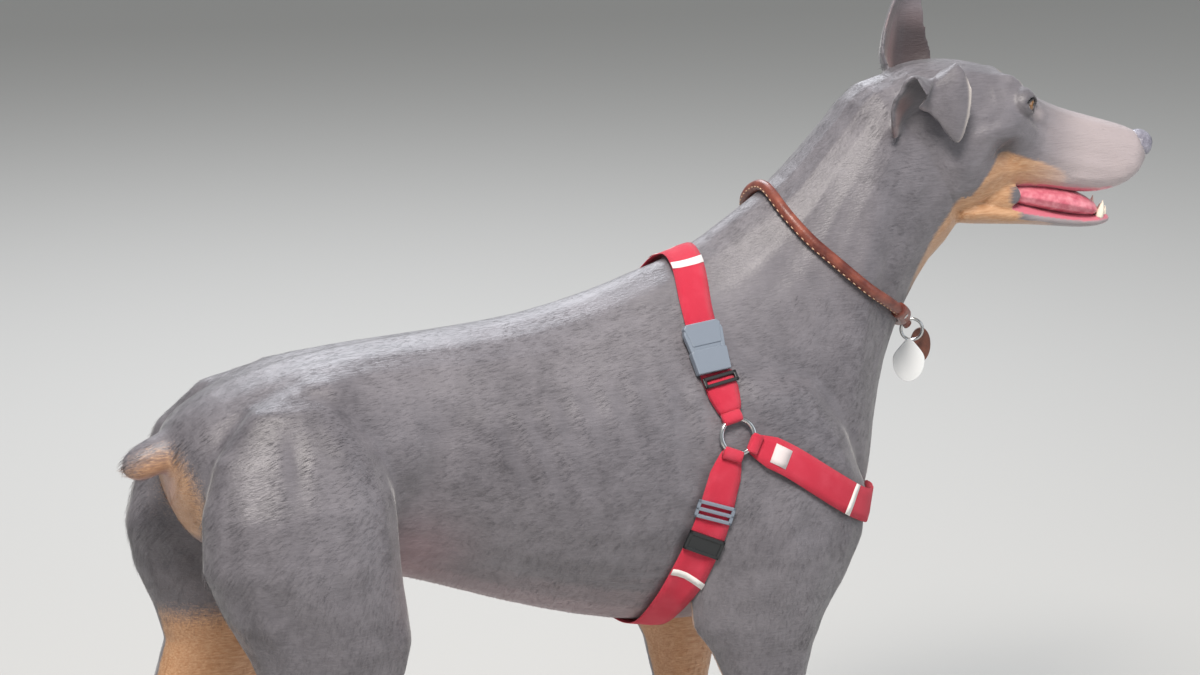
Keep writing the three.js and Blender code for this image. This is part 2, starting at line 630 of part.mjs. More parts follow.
// A thin solid strip over the body through waypoints, pulled straight over hollows.
function strapThrough(waypoints, { narrow = [false, false] } = {}) {
  const curve = new THREE.CatmullRomCurve3(waypoints.map(vector), false, "centripetal");
  const steps = Math.max(3, Math.round(curve.getLength() / webbing.step));
  const across = [-0.5, 0, 0.5];
  const frames = Array.from({ length: steps + 1 }, (_, i) => {
    const place = curve.getPointAt(i / steps);
    const outward = outwardFrom(place, trunkInside(place));
    const side = new THREE.Vector3().crossVectors(curve.getTangentAt(i / steps), outward).normalize();
    const nearEnd = (narrow[0] && i === 0) || (narrow[1] && i === steps);
    const wide = nearEnd ? webbing.sleeve : webbing.width;
    const places = across.map((share) => place.clone().addScaledVector(side, share * wide));
    return { places, outward, heights: places.map((spot) => surfaceAlong(spot, outward)) };
  });
  for (let pass = 0; pass < 12; pass++) {
    for (let i = 1; i < steps; i++) {
      across.forEach((_, k) => {
        const straight = (frames[i - 1].heights[k] + frames[i + 1].heights[k]) / 2;
        frames[i].heights[k] = Math.max(frames[i].heights[k], straight);
      });
    }
  }
  const sections = frames.map(({ places, outward, heights }) => {
    const row = (extra) =>
      places.map((spot, k) => spot.clone().addScaledVector(outward, heights[k] + webbing.clear + extra));
    return [...row(0), ...row(webbing.thickness).reverse()];
  });
  const capOf = (row) => {
    const centre = row.reduce((sum, point) => sum.add(point), new THREE.Vector3()).divideScalar(row.length);
    return row.map(() => centre);
  };
  return closed(new LoftGeometry([capOf(sections[0]), ...sections, capOf(sections[steps])]));
}

// A frame on the body at a place, z along the mean normal there and x along the strap
function onBody(at, along, clear, reach = 14) {
  const ray = outwardFrom(vector(at), trunkInside(vector(at)));
  const touch = (offset) => {
    const spot = vector(at).add(offset);
    return spot.addScaledVector(ray, surfaceAlong(spot, ray));
  };
  const sideways = new THREE.Vector3().crossVectors(ray, vector(along)).setLength(reach);
  const onwards = new THREE.Vector3().crossVectors(sideways, ray).setLength(reach);
  const acrossBody = touch(sideways).sub(touch(sideways.clone().negate()));
  const alongBody = touch(onwards).sub(touch(onwards.clone().negate()));
  const outward = new THREE.Vector3().crossVectors(alongBody, acrossBody).normalize();
  const side = new THREE.Vector3().crossVectors(outward, alongBody).normalize();
  const ahead = new THREE.Vector3().crossVectors(side, outward);
  const centre = touch(new THREE.Vector3()).addScaledVector(outward, clear);
  return new THREE.Matrix4().makeBasis(ahead, side, outward).setPosition(centre);
}

const ringOn = (matrix) =>
  closed(new THREE.TorusGeometry(harnessRing.radius, harnessRing.wire, 6, 18).applyMatrix4(matrix));

// The sleeve of webbing that is folded round a ring, on the way from the ring towards a place.
function sleeveAt(matrix, towards) {
  const centre = new THREE.Vector3().setFromMatrixPosition(matrix);
  const outward = new THREE.Vector3().setFromMatrixColumn(matrix, 2);
  const way = vector(towards).sub(centre);
  way.addScaledVector(outward, -way.dot(outward)).normalize();
  const side = new THREE.Vector3().crossVectors(outward, way);
  const spot = centre.addScaledVector(way, harnessRing.radius);
  const frame = new THREE.Matrix4().makeBasis(way, side, outward).setPosition(spot);
  const { sleeve, sleeveRadius } = webbing;
  return solidOf(new THREE.CylinderGeometry(sleeveRadius, sleeveRadius, sleeve, 10).applyMatrix4(frame));
}

const sideRingAt = onBody([-35, -106, 527], [0, 0, 1], harnessRing.clear);
const frontRingAt = onBody([150, 0, 428], [0, 1, 0], harnessRing.clear);
const sideRing = ringOn(sideRingAt);
const frontRing = ringOn(frontRingAt);
const ringClear = [grown(sideRing), grown(frontRing), grown(mirrored(sideRing))];

// Straps of the right side, each ending in sleeves at its rings
const strapPaths = {
  back: [
    [-48, -75, 604],
    [-46, -52, 634],
    [-40, -26, 662],
    [-37, 0, 672],
  ],
  shoulder: [
    [-45, -84, 580],
    [-42, -92, 562],
    [-38, -101, 543],
  ],
  chest: [
    [-19, -112, 517],
    [10, -119, 503],
    [45, -120, 480],
    [85, -108, 455],
    [122, -72, 438],
    [148, -18, 429],
  ],
  girth: [
    [-43, -108, 512],
    [-52, -109, 486],
    [-62, -106, 450],
    [-76, -98, 412],
    [-86, -78, 372],
    [-86, -40, 340],
  ],
};
const girthMiddle = [-86, 0, 332];

const buckleShape = new THREE.Shape();
const buckleSize = { long: 46, wide: 36, thick: 9, waist: 29, bevel: 1.2 };
const halfLong = buckleSize.long / 2;
const halfWide = buckleSize.wide / 2;
buckleShape.moveTo(-halfLong, -halfWide + 2);
buckleShape.lineTo(-4, -halfWide + 2);
buckleShape.lineTo(4, -buckleSize.waist / 2);
buckleShape.quadraticCurveTo(14, -buckleSize.waist / 2, halfLong - 4, -halfWide);
buckleShape.lineTo(halfLong, -halfWide + 4);
buckleShape.lineTo(halfLong, halfWide - 4);
buckleShape.lineTo(halfLong - 4, halfWide);
buckleShape.quadraticCurveTo(14, buckleSize.waist / 2, 4, buckleSize.waist / 2);
buckleShape.lineTo(-4, halfWide - 2);
buckleShape.lineTo(-halfLong, halfWide - 2);
buckleShape.closePath();
const buckleBlank = new THREE.ExtrudeGeometry(buckleShape, {
  depth: buckleSize.thick - 2 * buckleSize.bevel,
  bevelSize: buckleSize.bevel,
  bevelThickness: buckleSize.bevel,
  bevelSegments: 1,
  bevelOffset: -buckleSize.bevel,
  curveSegments: 3,
});
const buckleSlot = new THREE.BoxGeometry(2.5, 14, 4).translate(-6, 0, buckleSize.thick - 2);
const buckleAt = onBody([-49, -71, 597], [-4, 30, 42], webbing.clear + 3);
const buckle = geometryOf(
  solidOf(buckleBlank.translate(0, 0, buckleSize.bevel).applyMatrix4(buckleAt)).subtract(
    solidOf(buckleSlot.applyMatrix4(buckleAt)),
  ),
);

const fitted = (geometries, sleeves) =>
  geometryOf(
    joined([...geometries.map(solidOf), ...sleeves])
      .subtract(joined(ringClear))
      .subtract(grown(buckle))
      .subtract(grown(mirrored(buckle))),
  );

const sleeves = {
  shoulder: sleeveAt(sideRingAt, strapPaths.shoulder[0]),
  chestSide: sleeveAt(sideRingAt, strapPaths.chest[1]),
  chestFront: sleeveAt(frontRingAt, strapPaths.chest[4]),
  girth: sleeveAt(sideRingAt, strapPaths.girth[2]),
};
const flip = ([x, y, z]) => [x, -y, z];
const acrossBack = [...strapPaths.back, ...strapPaths.back.slice(0, -1).reverse().map(flip)];
const underChest = [...strapPaths.girth, girthMiddle, ...strapPaths.girth.slice().reverse().map(flip)];
const girthSleeves = [sleeves.girth, solidOf(mirrored(geometryOf(sleeves.girth)))];

const harness = {
  strap_back: fitted([strapThrough(acrossBack)], []),
  strap_shoulder: fitted(
    [strapThrough(strapPaths.shoulder, { narrow: [false, true] })],
    [sleeves.shoulder],
  ),
  strap_chest: fitted(
    [strapThrough(strapPaths.chest, { narrow: [true, true] })],
    [sleeves.chestSide, sleeves.chestFront],
  ),
  strap_girth: fitted([strapThrough(underChest, { narrow: [true, true] })], girthSleeves),
};

// Plates that ride on top of the straps: a bar below the buckle, a frame and a keeper on the girth
const plateClear = 4.9;
const plates = {
  slider_dark: { at: [-43.5, -88, 571], along: [2, -9, -16], size: [9, 33, 3] },
  slider_grey: { at: [-59, -107, 464], along: [-8, 0, -30], size: [14, 35, 3.4] },
  keeper: { at: [-67, -104, 435], along: [-12, 4, -36], size: [13, 33, 4.5] },
};

for (const strap of [harness.strap_girth, harness.strap_shoulder]) {
  bodyMeshes.push(new THREE.Mesh(strap, bodyMeshes[0].material));
}

function plateOf({ at, along, size }) {
  const clear = plateClear + size[2] / 2;
  return closed(new THREE.BoxGeometry(...size)).applyMatrix4(onBody(at, along, clear, 9));
}

// Collar: rolled leather round the neck, with a lug at the front for its ring
const neckInside = new THREE.Vector3(115, -1, 664);
const collarPath = [
  [56, 0, 722],
  [61, -34, 702],
  [72, -54, 683],
  [90, -66, 665],
  [114, -71, 644],
  [140, -63, 627],
  [162, -42, 614],
  [173, -16, 606],
];
const collarLoop = [...collarPath, ...collarPath.slice(1).reverse().map(flip)];
const collarPoints = collarLoop.map((at) => {
  const place = vector(at);
  const outward = outwardFrom(place, neckInside);
  const height = surfaceAlong(place, outward) + collarSize.clear + collarSize.radius;
  return place.addScaledVector(outward, height);
});
const collarCurve = new THREE.CatmullRomCurve3(collarPoints, true, "centripetal");
const collarTube = new THREE.TubeGeometry(collarCurve, 40, collarSize.radius, 8, true);
const collarFront = collarPoints[7].clone();
const collarRing = { radius: 10, wire: 1.5 };
const ringCentre = collarFront.clone().add(new THREE.Vector3(13, 2, -12));
const smallRing = closed(
  new THREE.TorusGeometry(collarRing.radius, collarRing.wire, 6, 18)
    .rotateX(Math.PI / 2)
    .rotateZ(degrees(-30))
    .translate(...ringCentre.toArray()),
);
const lugSpot = collarFront.clone().lerp(ringCentre, 0.42);
const lug = new THREE.BoxGeometry(12, 6, 7)
  .rotateY(degrees(43))
  .rotateZ(degrees(-8))
  .translate(...lugSpot.toArray());
const collarSolid = joined([solidOf(collarTube), solidOf(lug)]).subtract(grown(smallRing, 2 * gap));

// Tag and leather tab, hung on the collar's ring
const tagSize = { radius: 14.5, long: 26, thick: 2 };
const tagShape = new THREE.Shape();
tagShape.moveTo(0, tagSize.long);
tagShape.quadraticCurveTo(6, tagSize.long, 9, tagSize.long - 9);
tagShape.quadraticCurveTo(tagSize.radius + 1, 6, tagSize.radius, -1);
tagShape.absarc(0, 0, tagSize.radius, 0, -Math.PI, true);
tagShape.quadraticCurveTo(-tagSize.radius - 1, 6, -9, tagSize.long - 9);
tagShape.quadraticCurveTo(-6, tagSize.long, 0, tagSize.long);
const hung = (shape, thick, turn, drop) =>
  new THREE.ExtrudeGeometry(shape, { depth: thick, bevelEnabled: false, curveSegments: 6 })
    .translate(0, 0, -thick / 2)
    .rotateX(Math.PI / 2)
    .rotateZ(degrees(turn))
    .translate(ringCentre.x + drop[0], ringCentre.y + drop[1], ringCentre.z + drop[2]);
const tagGeometry = hung(tagShape, tagSize.thick, -27, [-5, -4, -34]);
const tabShape = new THREE.Shape();
tabShape.moveTo(-9, 4);
tabShape.quadraticCurveTo(0, 9, 9, 4);
tabShape.lineTo(10, -28);
tabShape.lineTo(-8, -30);
tabShape.closePath();
const tabGeometry = hung(tabShape, 3, -20, [11.5, 4, -4]);
const ringRoom = grown(smallRing, 2 * gap);

// Model assembly

const part = new THREE.Group();
const materials = Object.fromEntries(
  Object.entries(colours).map(([name, color]) => {
    const material = new THREE.MeshStandardMaterial({ color, ...looks[name] });
    return [name, material];
  }),
);

function place(group, name, geometry, material) {
  const mesh = new THREE.Mesh(geometry, materials[material]);
  mesh.name = name;
  group.add(mesh);
  return mesh;
}

place(part, "torso", torsoGeometry, "blueCoat");
place(part, "neck", neckGeometry, "blueCoat");
place(part, "tail", geometryOf(tailSolid), "blueCoat");
for (const [name, leg] of Object.entries(legs)) place(part, name, leg, "blueCoat");

place(headGroup, "head", geometryOf(headCut), "blueCoat");
place(headGroup, "jaw", jawGeometry, "rustCoat");
place(headGroup, "tongue", geometryOf(tongueSolid), "tonguePink");
const noseSolid = solidOf(noseShape).subtract(nostril(1)).subtract(nostril(-1));
place(headGroup, "nose", geometryOf(noseSolid), "noseLeather");
place(headGroup, "eye_left", eyeGeometry(1), "eyeAmber");
place(headGroup, "eye_right", eyeGeometry(-1), "eyeAmber");
const neckInHead = solidOf(pushed(closed(trunkShape).applyMatrix4(inHead), gap));
for (const [name, ear] of Object.entries(earShapes)) {
  const rooted = solidOf(ear).subtract(grown(headShape)).subtract(neckInHead);
  place(headGroup, name, geometryOf(rooted), "blueCoat");
}
part.add(headGroup);

place(part, "strap_back", harness.strap_back, "redWebbing");
place(part, "strap_girth", harness.strap_girth, "redWebbing");
place(part, "ring_front", frontRing, "steel");
const paired = {
  strap_shoulder: [harness.strap_shoulder, "redWebbing"],
  strap_chest: [harness.strap_chest, "redWebbing"],
  ring_side: [sideRing, "steel"],
  buckle: [buckle, "greyPlastic"],
  slider_dark: [plateOf(plates.slider_dark), "blackPlastic"],
  slider_grey: [plateOf(plates.slider_grey), "greyPlastic"],
  keeper: [plateOf(plates.keeper), "blackPlastic"],
};
for (const [name, [geometry, material]] of Object.entries(paired)) {
  place(part, `${name}_right`, geometry, material);
  place(part, `${name}_left`, mirrored(geometry), material);
}

place(part, "collar", geometryOf(collarSolid), "brownLeather");
place(part, "collar_ring", smallRing, "steel");
place(part, "tag", geometryOf(solidOf(tagGeometry).subtract(ringRoom)), "whiteEnamel");
place(part, "collar_tab", geometryOf(solidOf(tabGeometry).subtract(ringRoom)), "brownLeather");

// The origin is at the bottom centre of the whole.
part.updateMatrixWorld(true);
const bounds = new THREE.Box3().setFromObject(part);
const middle = bounds.getCenter(new THREE.Vector3());
for (const child of part.children) child.position.sub(new THREE.Vector3(middle.x, middle.y, bounds.min.z));

export default part;
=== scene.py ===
import bpy
import bmesh
import math
import random
import numpy as np
from mathutils import Matrix, Vector
from mathutils.bvhtree import BVHTree


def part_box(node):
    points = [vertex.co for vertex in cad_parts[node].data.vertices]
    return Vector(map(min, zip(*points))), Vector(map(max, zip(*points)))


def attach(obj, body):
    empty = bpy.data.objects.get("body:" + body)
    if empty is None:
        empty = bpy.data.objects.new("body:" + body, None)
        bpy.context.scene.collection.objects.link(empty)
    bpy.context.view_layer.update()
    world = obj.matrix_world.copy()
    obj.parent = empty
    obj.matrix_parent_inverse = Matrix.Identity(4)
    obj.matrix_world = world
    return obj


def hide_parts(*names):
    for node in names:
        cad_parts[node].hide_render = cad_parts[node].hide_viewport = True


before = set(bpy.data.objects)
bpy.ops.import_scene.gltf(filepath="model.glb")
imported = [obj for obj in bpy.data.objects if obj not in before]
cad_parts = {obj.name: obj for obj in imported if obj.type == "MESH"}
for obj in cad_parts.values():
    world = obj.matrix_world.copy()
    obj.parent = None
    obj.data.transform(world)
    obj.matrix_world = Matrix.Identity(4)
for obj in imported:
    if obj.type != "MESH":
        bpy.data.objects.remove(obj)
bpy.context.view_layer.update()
random.seed(7)
numbers = np.random.default_rng(7)

# Places below are in millimetres from under the withers, as in the solids; the row frame lies a little
# further forward.
shift = Vector((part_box("torso")[0][0] + 0.53006, 0, 0))


def place(x, y, z):
    return Vector((x, y, z)) / 1000 + shift


headSeat = {"at": (178, -1, 768), "pitchDown": 11, "turnRight": 12}
headTurn = Matrix.Rotation(
    -math.radians(headSeat["turnRight"]), 4, "Z",
) @ Matrix.Rotation(math.radians(headSeat["pitchDown"]), 4, "Y")
headToRow = Matrix.Translation(place(*headSeat["at"])) @ headTurn
rowToHead = headToRow.inverted()


def linear(code):
    shares = [int(code[i:i + 2], 16) / 255 for i in (1, 3, 5)]
    return tuple(s / 12.92 if s <= 0.04045 else ((s + 0.055) / 1.055) ** 2.4 for s in shares) + (1,)


def smoothStep(values, low, high):
    t = np.clip((values - low) / (high - low), 0, 1)
    return t * t * (3 - 2 * t)


# Materials

def node(tree, kind, sockets, **settings):
    made = tree.nodes.new("ShaderNode" + kind)
    for name, value in settings.items():
        setattr(made, name, value)
    for name, value in sockets.items():
        socket = made.inputs[name]
        if isinstance(value, bpy.types.NodeSocket):
            tree.links.new(value, socket)
        else:
            socket.default_value = value
    return made


def blankMaterial(name):
    material = bpy.data.materials.new(name)
    material.use_nodes = True
    tree = material.node_tree
    return material, tree, tree.nodes["Principled BSDF"]


def feed(tree, shader, sockets):
    for name, value in sockets.items():
        if isinstance(value, bpy.types.NodeSocket):
            tree.links.new(value, shader.inputs[name])
        else:
            shader.inputs[name].default_value = value


def plainMaterial(name, look):
    material, tree, shader = blankMaterial(name)
    feed(tree, shader, look)
    return material


def mixed(tree, share, a, b):
    blend = node(tree, "Mix", {0: share, 6: a, 7: b}, data_type="RGBA")
    return blend.outputs[2]


def attribute(tree, name):
    return node(tree, "Attribute", {}, attribute_name=name).outputs["Fac"]


def noiseAt(tree, vector, scale, detail=3.0, roughness=0.5):
    return node(
        tree, "TexNoise", {"Vector": vector, "Scale": scale, "Detail": detail, "Roughness": roughness},
    ).outputs["Fac"]


def spread(tree, value, low, high, outLow=0.0, outHigh=1.0):
    return node(
        tree,
        "MapRange",
        {"Value": value, "From Min": low, "From Max": high, "To Min": outLow, "To Max": outHigh},
    ).outputs[0]


def maths(tree, operation, a, b):
    return node(tree, "Math", {0: a, 1: b}, operation=operation).outputs[0]


coat = {
    "blue": linear("#6f6c72"),
    "blueDeep": linear("#504d53"),
    "bluePale": linear("#918d94"),
    "rust": linear("#b07c52"),
    "rustPale": linear("#cfa783"),
    "muzzle": linear("#b8acae"),
    "skinPink": linear("#a5848a"),
    "gum": linear("#cc7484"),
    # dark: dark skin round the eyes, and painted shade in the hollow under the cheekbone and in the cup of
    # the far ear
    "dark": linear("#2b282c"),
    "earInside": linear("#8d7272"),
    # the pale rim colour is a painted highlight where the light catches the edge of the folded ear
    "paintedRimHighlight": linear("#e6ddd6"),
}


# Short satin fur over skin, blue-grey with rust markings, with painted shade and a painted highlight from
# the marks, used by the skin and by its tufts
def furMaterial(name, tufts):
    material, tree, shader = blankMaterial(name)
    spot = node(tree, "TexCoord", {}).outputs["Object"]
    broad = noiseAt(tree, spot, 9.0, 3.0)
    patchy = noiseAt(tree, spot, 46.0, 4.0, 0.6)
    tone = mixed(tree, spread(tree, broad, 0.3, 0.7), coat["blueDeep"], coat["blue"])
    tone = mixed(tree, spread(tree, patchy, 0.4, 0.85, 0.0, 0.45), tone, coat["bluePale"])
    # streaks that follow the lie: along the trunk, down the neck, down the legs
    lies = {
        "trunk": (0.0, (7, 60, 60)),
        "neck": (0.9, (7, 60, 60)),
        "legs": (1.45, (7, 60, 60)),
    }
    streaks = {}
    for part, (turn, size) in lies.items():
        turned = node(tree, "Mapping", {"Vector": spot, "Rotation": (0, turn, 0), "Scale": size})
        fine = noiseAt(tree, turned.outputs[0], 11.0, 4.0, 0.62)
        streaks[part] = fine
    onNeck = attribute(tree, "neckward")
    onLegs = attribute(tree, "legward")
    streak = node(
        tree,
        "Mix",
        {0: onNeck, 2: streaks["trunk"], 3: streaks["neck"]},
        data_type="FLOAT",
    ).outputs[0]
    streak = node(tree, "Mix", {0: onLegs, 2: streak, 3: streaks["legs"]}, data_type="FLOAT").outputs[0]
    tone = mixed(tree, spread(tree, streak, 0.35, 0.75, 0.0, 0.32), tone, coat["bluePale"])
    rustTone = mixed(tree, spread(tree, streak, 0.3, 0.7), coat["rust"], coat["rustPale"])
    ragged = maths(tree, "MULTIPLY", maths(tree, "SUBTRACT", streak, 0.5), 0.7)
    edge = maths(tree, "ADD", attribute(tree, "rust"), ragged)
    tone = mixed(tree, spread(tree, edge, 0.3, 0.72), tone, rustTone)
    # the dark share is partly painted shade, and the pale rim share is a painted highlight
    for markOrPaintedLight, share in (
        ("muzzle", 0.9),
        ("skinPink", 0.75),
        ("earInside", 0.9),
        ("gum", 1.0),
        ("dark", 0.92),
        ("paintedRimHighlight", 0.9),
    ):
        tone = mixed(tree, maths(tree, "MULTIPLY", attribute(tree, markOrPaintedLight), share), tone, coat[markOrPaintedLight])
    bare = attribute(tree, "gum")
    rough = spread(tree, bare, 0.0, 1.0, 0.43 if not tufts else 0.48, 0.22)
    feed(tree, shader, {
        "Base Color": tone,
        "Roughness": rough,
        "Sheen Weight": 0.28,
        "Sheen Roughness": 0.4,
        "Specular IOR Level": 0.62,
    })
    if not tufts:
        strong = spread(tree, bare, 0.0, 1.0, 0.34, 0.06)
        pores = noiseAt(tree, spot, 900.0, 2.0)
        height = maths(tree, "ADD", streak, maths(tree, "MULTIPLY", pores, 0.25))
        height = maths(tree, "ADD", height, maths(tree, "MULTIPLY", patchy, 0.8))
        bump = node(tree, "Bump", {"Height": height, "Strength": strong, "Distance": 0.0016})
        feed(tree, shader, {"Normal": bump.outputs[0]})
    return material


# Skin: copies of the flesh solids are fused, first coarse for the body and fine for the head

def meshArrays(mesh):
    points = np.empty(len(mesh.vertices) * 3)
    mesh.vertices.foreach_get("co", points)
    return points.reshape(-1, 3)


def objectFrom(name, bm, smooth=True):
    mesh = bpy.data.meshes.new(name)
    bm.to_mesh(mesh)
    bm.free()
    made = bpy.data.objects.new(name, mesh)
    bpy.context.scene.collection.objects.link(made)
    if smooth:
        mesh.polygons.foreach_set("use_smooth", [True] * len(mesh.polygons))
    return made


def grownCopies(names, amount):
    whole = bmesh.new()
    for name in names:
        piece = bmesh.new()
        piece.from_mesh(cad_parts[name].data)
        bmesh.ops.remove_doubles(piece, verts=piece.verts, dist=1e-6)
        piece.normal_update()
        extra = 0.0009 if name.startswith("ear") else 0
        for vert in piece.verts:
            vert.co += vert.normal * (amount + extra)
        mesh = bpy.data.meshes.new("copy")
        piece.to_mesh(mesh)
        piece.free()
        whole.from_mesh(mesh)
        bpy.data.meshes.remove(mesh)
    return whole


def fused(names, voxel, amount=0.0005, fillers=()):
    whole = grownCopies(names, amount)
    for matrix in fillers:
        bmesh.ops.create_uvsphere(whole, u_segments=24, v_segments=16, radius=1, matrix=matrix)
    made = objectFrom("fusing", whole)
    remesh = made.modifiers.new("remesh", "REMESH")
    remesh.mode = "VOXEL"
    remesh.voxel_size = voxel
    graph = bpy.context.evaluated_depsgraph_get()
    mesh = bpy.data.meshes.new_from_object(made.evaluated_get(graph))
    bpy.data.objects.remove(made)
    return mesh


def edgeArray(mesh):
    ends = np.empty(len(mesh.edges) * 2, dtype=np.int64)
    mesh.edges.foreach_get("vertices", ends)
    return ends.reshape(-1, 2)


def relaxed(points, ends, weights, passes, back=-0.51):
    counts = np.bincount(ends.ravel(), minlength=len(points))[:, None]
    for step in range(passes * 2):
        total = np.zeros_like(points)
        for axis in range(3):
            total[:, axis] = np.bincount(ends[:, 0], points[ends[:, 1], axis], len(points))
            total[:, axis] += np.bincount(ends[:, 1], points[ends[:, 0], axis], len(points))
        mean = total / np.maximum(counts, 1)
        share = 0.5 if step % 2 == 0 else back
        points = points + (mean - points) * weights[:, None] * share
    return points


def toModel(points):
    return (points - np.array(shift)) * 1000


def toHead(points):
    matrix = np.array(rowToHead)
    return (points @ matrix[:3, :3].T + matrix[:3, 3]) * 1000


bodyNodes = [
    "neck",
    "torso",
    "tail",
    "leg_front_left",
    "leg_front_right",
    "leg_hind_left",
    "leg_hind_right",
]
headNodes = ["head", "jaw", "ear_left", "ear_right", "neck"]

bodyMesh = fused(bodyNodes, 0.0041)
points = meshArrays(bodyMesh)
model = toModel(points)
feet = smoothStep(model[:, 2], 60, 30)
points = relaxed(points, edgeArray(bodyMesh), 1 - 0.8 * feet, 14)
onShoulder = np.exp(-(((model[:, 0] - 10) / 110) ** 2 + ((model[:, 2] - 500) / 130) ** 2))
onHip = np.exp(-(((model[:, 0] + 430) / 100) ** 2 + ((model[:, 2] - 520) / 110) ** 2))
points = relaxed(points, edgeArray(bodyMesh), np.clip(onShoulder + onHip, 0, 1), 45)
bodyMesh.vertices.foreach_set("co", points.ravel())

eyeSpot = {"at": (114, 33.5, 46), "outward": 40, "upward": 6, "radius": 11.0}
mouthCorner = {"at": (116, 26.5, -41), "radii": (19, 5, 13)}
fillers = []
for sign in (1, -1):
    x, y, z = mouthCorner["at"]
    spot = Matrix.Translation(Vector((x, sign * y, z)) / 1000)
    fillers.append(headToRow @ spot @ Matrix.Diagonal([r / 1000 for r in mouthCorner["radii"]] + [1]))
headMesh = fused(headNodes, 0.0017, fillers=fillers)
points = meshArrays(headMesh)
local = toHead(points)
earArea = smoothStep(np.abs(local[:, 1]) + 0.6 * np.maximum(local[:, 2], 0), 60, 78) * (local[:, 0] < 70)
points = relaxed(points, edgeArray(headMesh), np.ones(len(points)), 6)
points = relaxed(points, edgeArray(headMesh), earArea, 8)
cornerGap = np.column_stack(
    ((local[:, 0] - 118) / 26, (np.abs(local[:, 1]) - 29) / 13, (local[:, 2] + 41) / 15)
)
points = relaxed(points, edgeArray(headMesh), np.exp(-(cornerGap ** 2).sum(axis=1)), 30)
foldedEar = earArea * (local[:, 1] < 0) * smoothStep(local[:, 2], 34, 46)
points = relaxed(points, edgeArray(headMesh), foldedEar, 12)
earFold = earArea * (local[:, 1] < 0) * smoothStep(local[:, 2], 56, 66)
points = relaxed(points, edgeArray(headMesh), earFold, 9, back=0.2)
x, y, z = eyeSpot["at"]
fromEye = np.linalg.norm(
    np.column_stack((local[:, 0] - x, np.abs(local[:, 1]) - y, local[:, 2] - z)), axis=1,
)
lidSlope = smoothStep(fromEye, 28, 22) * smoothStep(fromEye, 13.4, 15.5)
points = relaxed(points, edgeArray(headMesh), lidSlope, 26)
headMesh.vertices.foreach_set("co", points.ravel())
print("fused", len(bodyMesh.vertices), len(headMesh.vertices))

# The two are cut on a plane under the collar and bridged into one skin.
seam = {"at": place(108, 0, 662), "normal": Vector((0.7, 0, 0.71)).normalized(), "half": 0.0022}


def cutHalf(mesh, keepFront):
    bm = bmesh.new()
    bm.from_mesh(mesh)
    side = 1 if keepFront else -1
    bmesh.ops.bisect_plane(
        bm,
        geom=bm.verts[:] + bm.edges[:] + bm.faces[:],
        plane_co=seam["at"] + seam["normal"] * seam["half"] * side,
        plane_no=seam["normal"],
        clear_inner=keepFront,
        clear_outer=not keepFront,
    )
    half = bpy.data.meshes.new("half")
    bm.to_mesh(half)
    bm.free()
    return half


skinBm = bmesh.new()
for half in (cutHalf(bodyMesh, False), cutHalf(headMesh, True)):
    skinBm.from_mesh(half)
edgesAtSeam = [edge for edge in skinBm.edges if edge.is_boundary]
bmesh.ops.bridge_loops(skinBm, edges=edgesAtSeam)
bmesh.ops.triangulate(skinBm, faces=[face for face in skinBm.faces if len(face.verts) > 4])
bmesh.ops.recalc_face_normals(skinBm, faces=skinBm.faces[:])
skin = objectFrom("skin", skinBm)
print("skin faces", len(skin.data.polygons))


# Muscles, tendons, veins and folds: ridges of some millimetres along lines, on both sides of the body

bodyRidges = [
    ((-60, 62, 640), (20, 100, 520), 9, 2.2),
    ((20, 100, 520), (96, 112, 470), 12, 3.0),
    ((-62, 98, 560), (-40, 108, 470), 16, 2.5),
    ((-82, 92, 560), (-80, 100, 410), 9, -2.8),
    ((40, 112, 500), (0, 118, 430), 14, 2.4),
    ((86, 104, 440), (30, 114, 400), 9, -2.2),
    ((18, 110, 400), (44, 104, 330), 9, 2.2),
    ((-20, 104, 420), (-44, 94, 360), 8, 2.4),
    ((60, 96, 330), (48, 88, 210), 4, 1.4),
    ((20, 98, 330), (14, 86, 190), 4, -1.3),
    ((40, 94, 300), (34, 84, 170), 2.6, 1.0),
    ((150, 36, 770), (96, 108, 520), 18, 3.4),
    ((166, 50, 720), (122, 78, 520), 10, -3.0),
    ((184, 26, 690), (154, 34, 520), 12, 2.4),
    ((96, 40, 760), (10, 56, 650), 16, 2.4),
    ((-300, 84, 560), (-356, 88, 440), 16, -4.2),
    ((-330, 84, 470), (-352, 74, 404), 6, 2.4),
    ((-392, 64, 606), (-430, 58, 606), 12, 2.6),
    ((-410, 92, 590), (-390, 112, 480), 16, 2.6),
    ((-450, 96, 580), (-462, 122, 400), 10, -3.0),
    ((-494, 80, 540), (-500, 110, 420), 12, 2.6),
    ((-520, 60, 500), (-506, 92, 400), 6, -1.8),
    ((-360, 112, 400), (-362, 96, 360), 8, 2.4),
    ((-392, 108, 372), (-430, 106, 330), 9, -2.4),
    ((-470, 104, 350), (-510, 98, 260), 2.6, 1.2),
    ((-486, 106, 330), (-556, 92, 226), 7, 2.0),
    ((-500, 98, 250), (-540, 92, 210), 8, -2.6),
    ((-526, 60, 250), (-556, 64, 214), 8, -2.4),
    ((-200, 90, 410), (-20, 92, 392), 5, 1.0),
    ((-120, 60, 640), (-300, 50, 628), 12, 1.8),
    ((-60, 14, 668), (-480, 12, 606), 9, -1.6),
]
ribCount = 7
for i in range(ribCount):
    bodyRidges.append(((-96 - 30 * i, 84, 590), (-66 - 27 * i, 103, 430 + 6 * i), 8, 1.1))
# creases of loose skin across the neck behind the collar, and at the elbow
for i in range(3):
    bodyRidges.append(((14 + 16 * i, 42, 700 + 7 * i), (62 + 16 * i, 80, 622 + 8 * i), 5, 1.9))
bodyRidges.append(((-58, 96, 404), (-30, 104, 372), 4, -1.6))
# grooves between the toes; the left hind foot stands further back
for footX, side in ((32, 0), (-524, -1), (-570, 1)):
    for across in (-12.75, 0, 12.75):
        bodyRidges.append(
            ((footX + 16, 78 + across, 36), (footX + 58, 78 + across * 1.33, 13), 3.2, -3.0, side)
        )

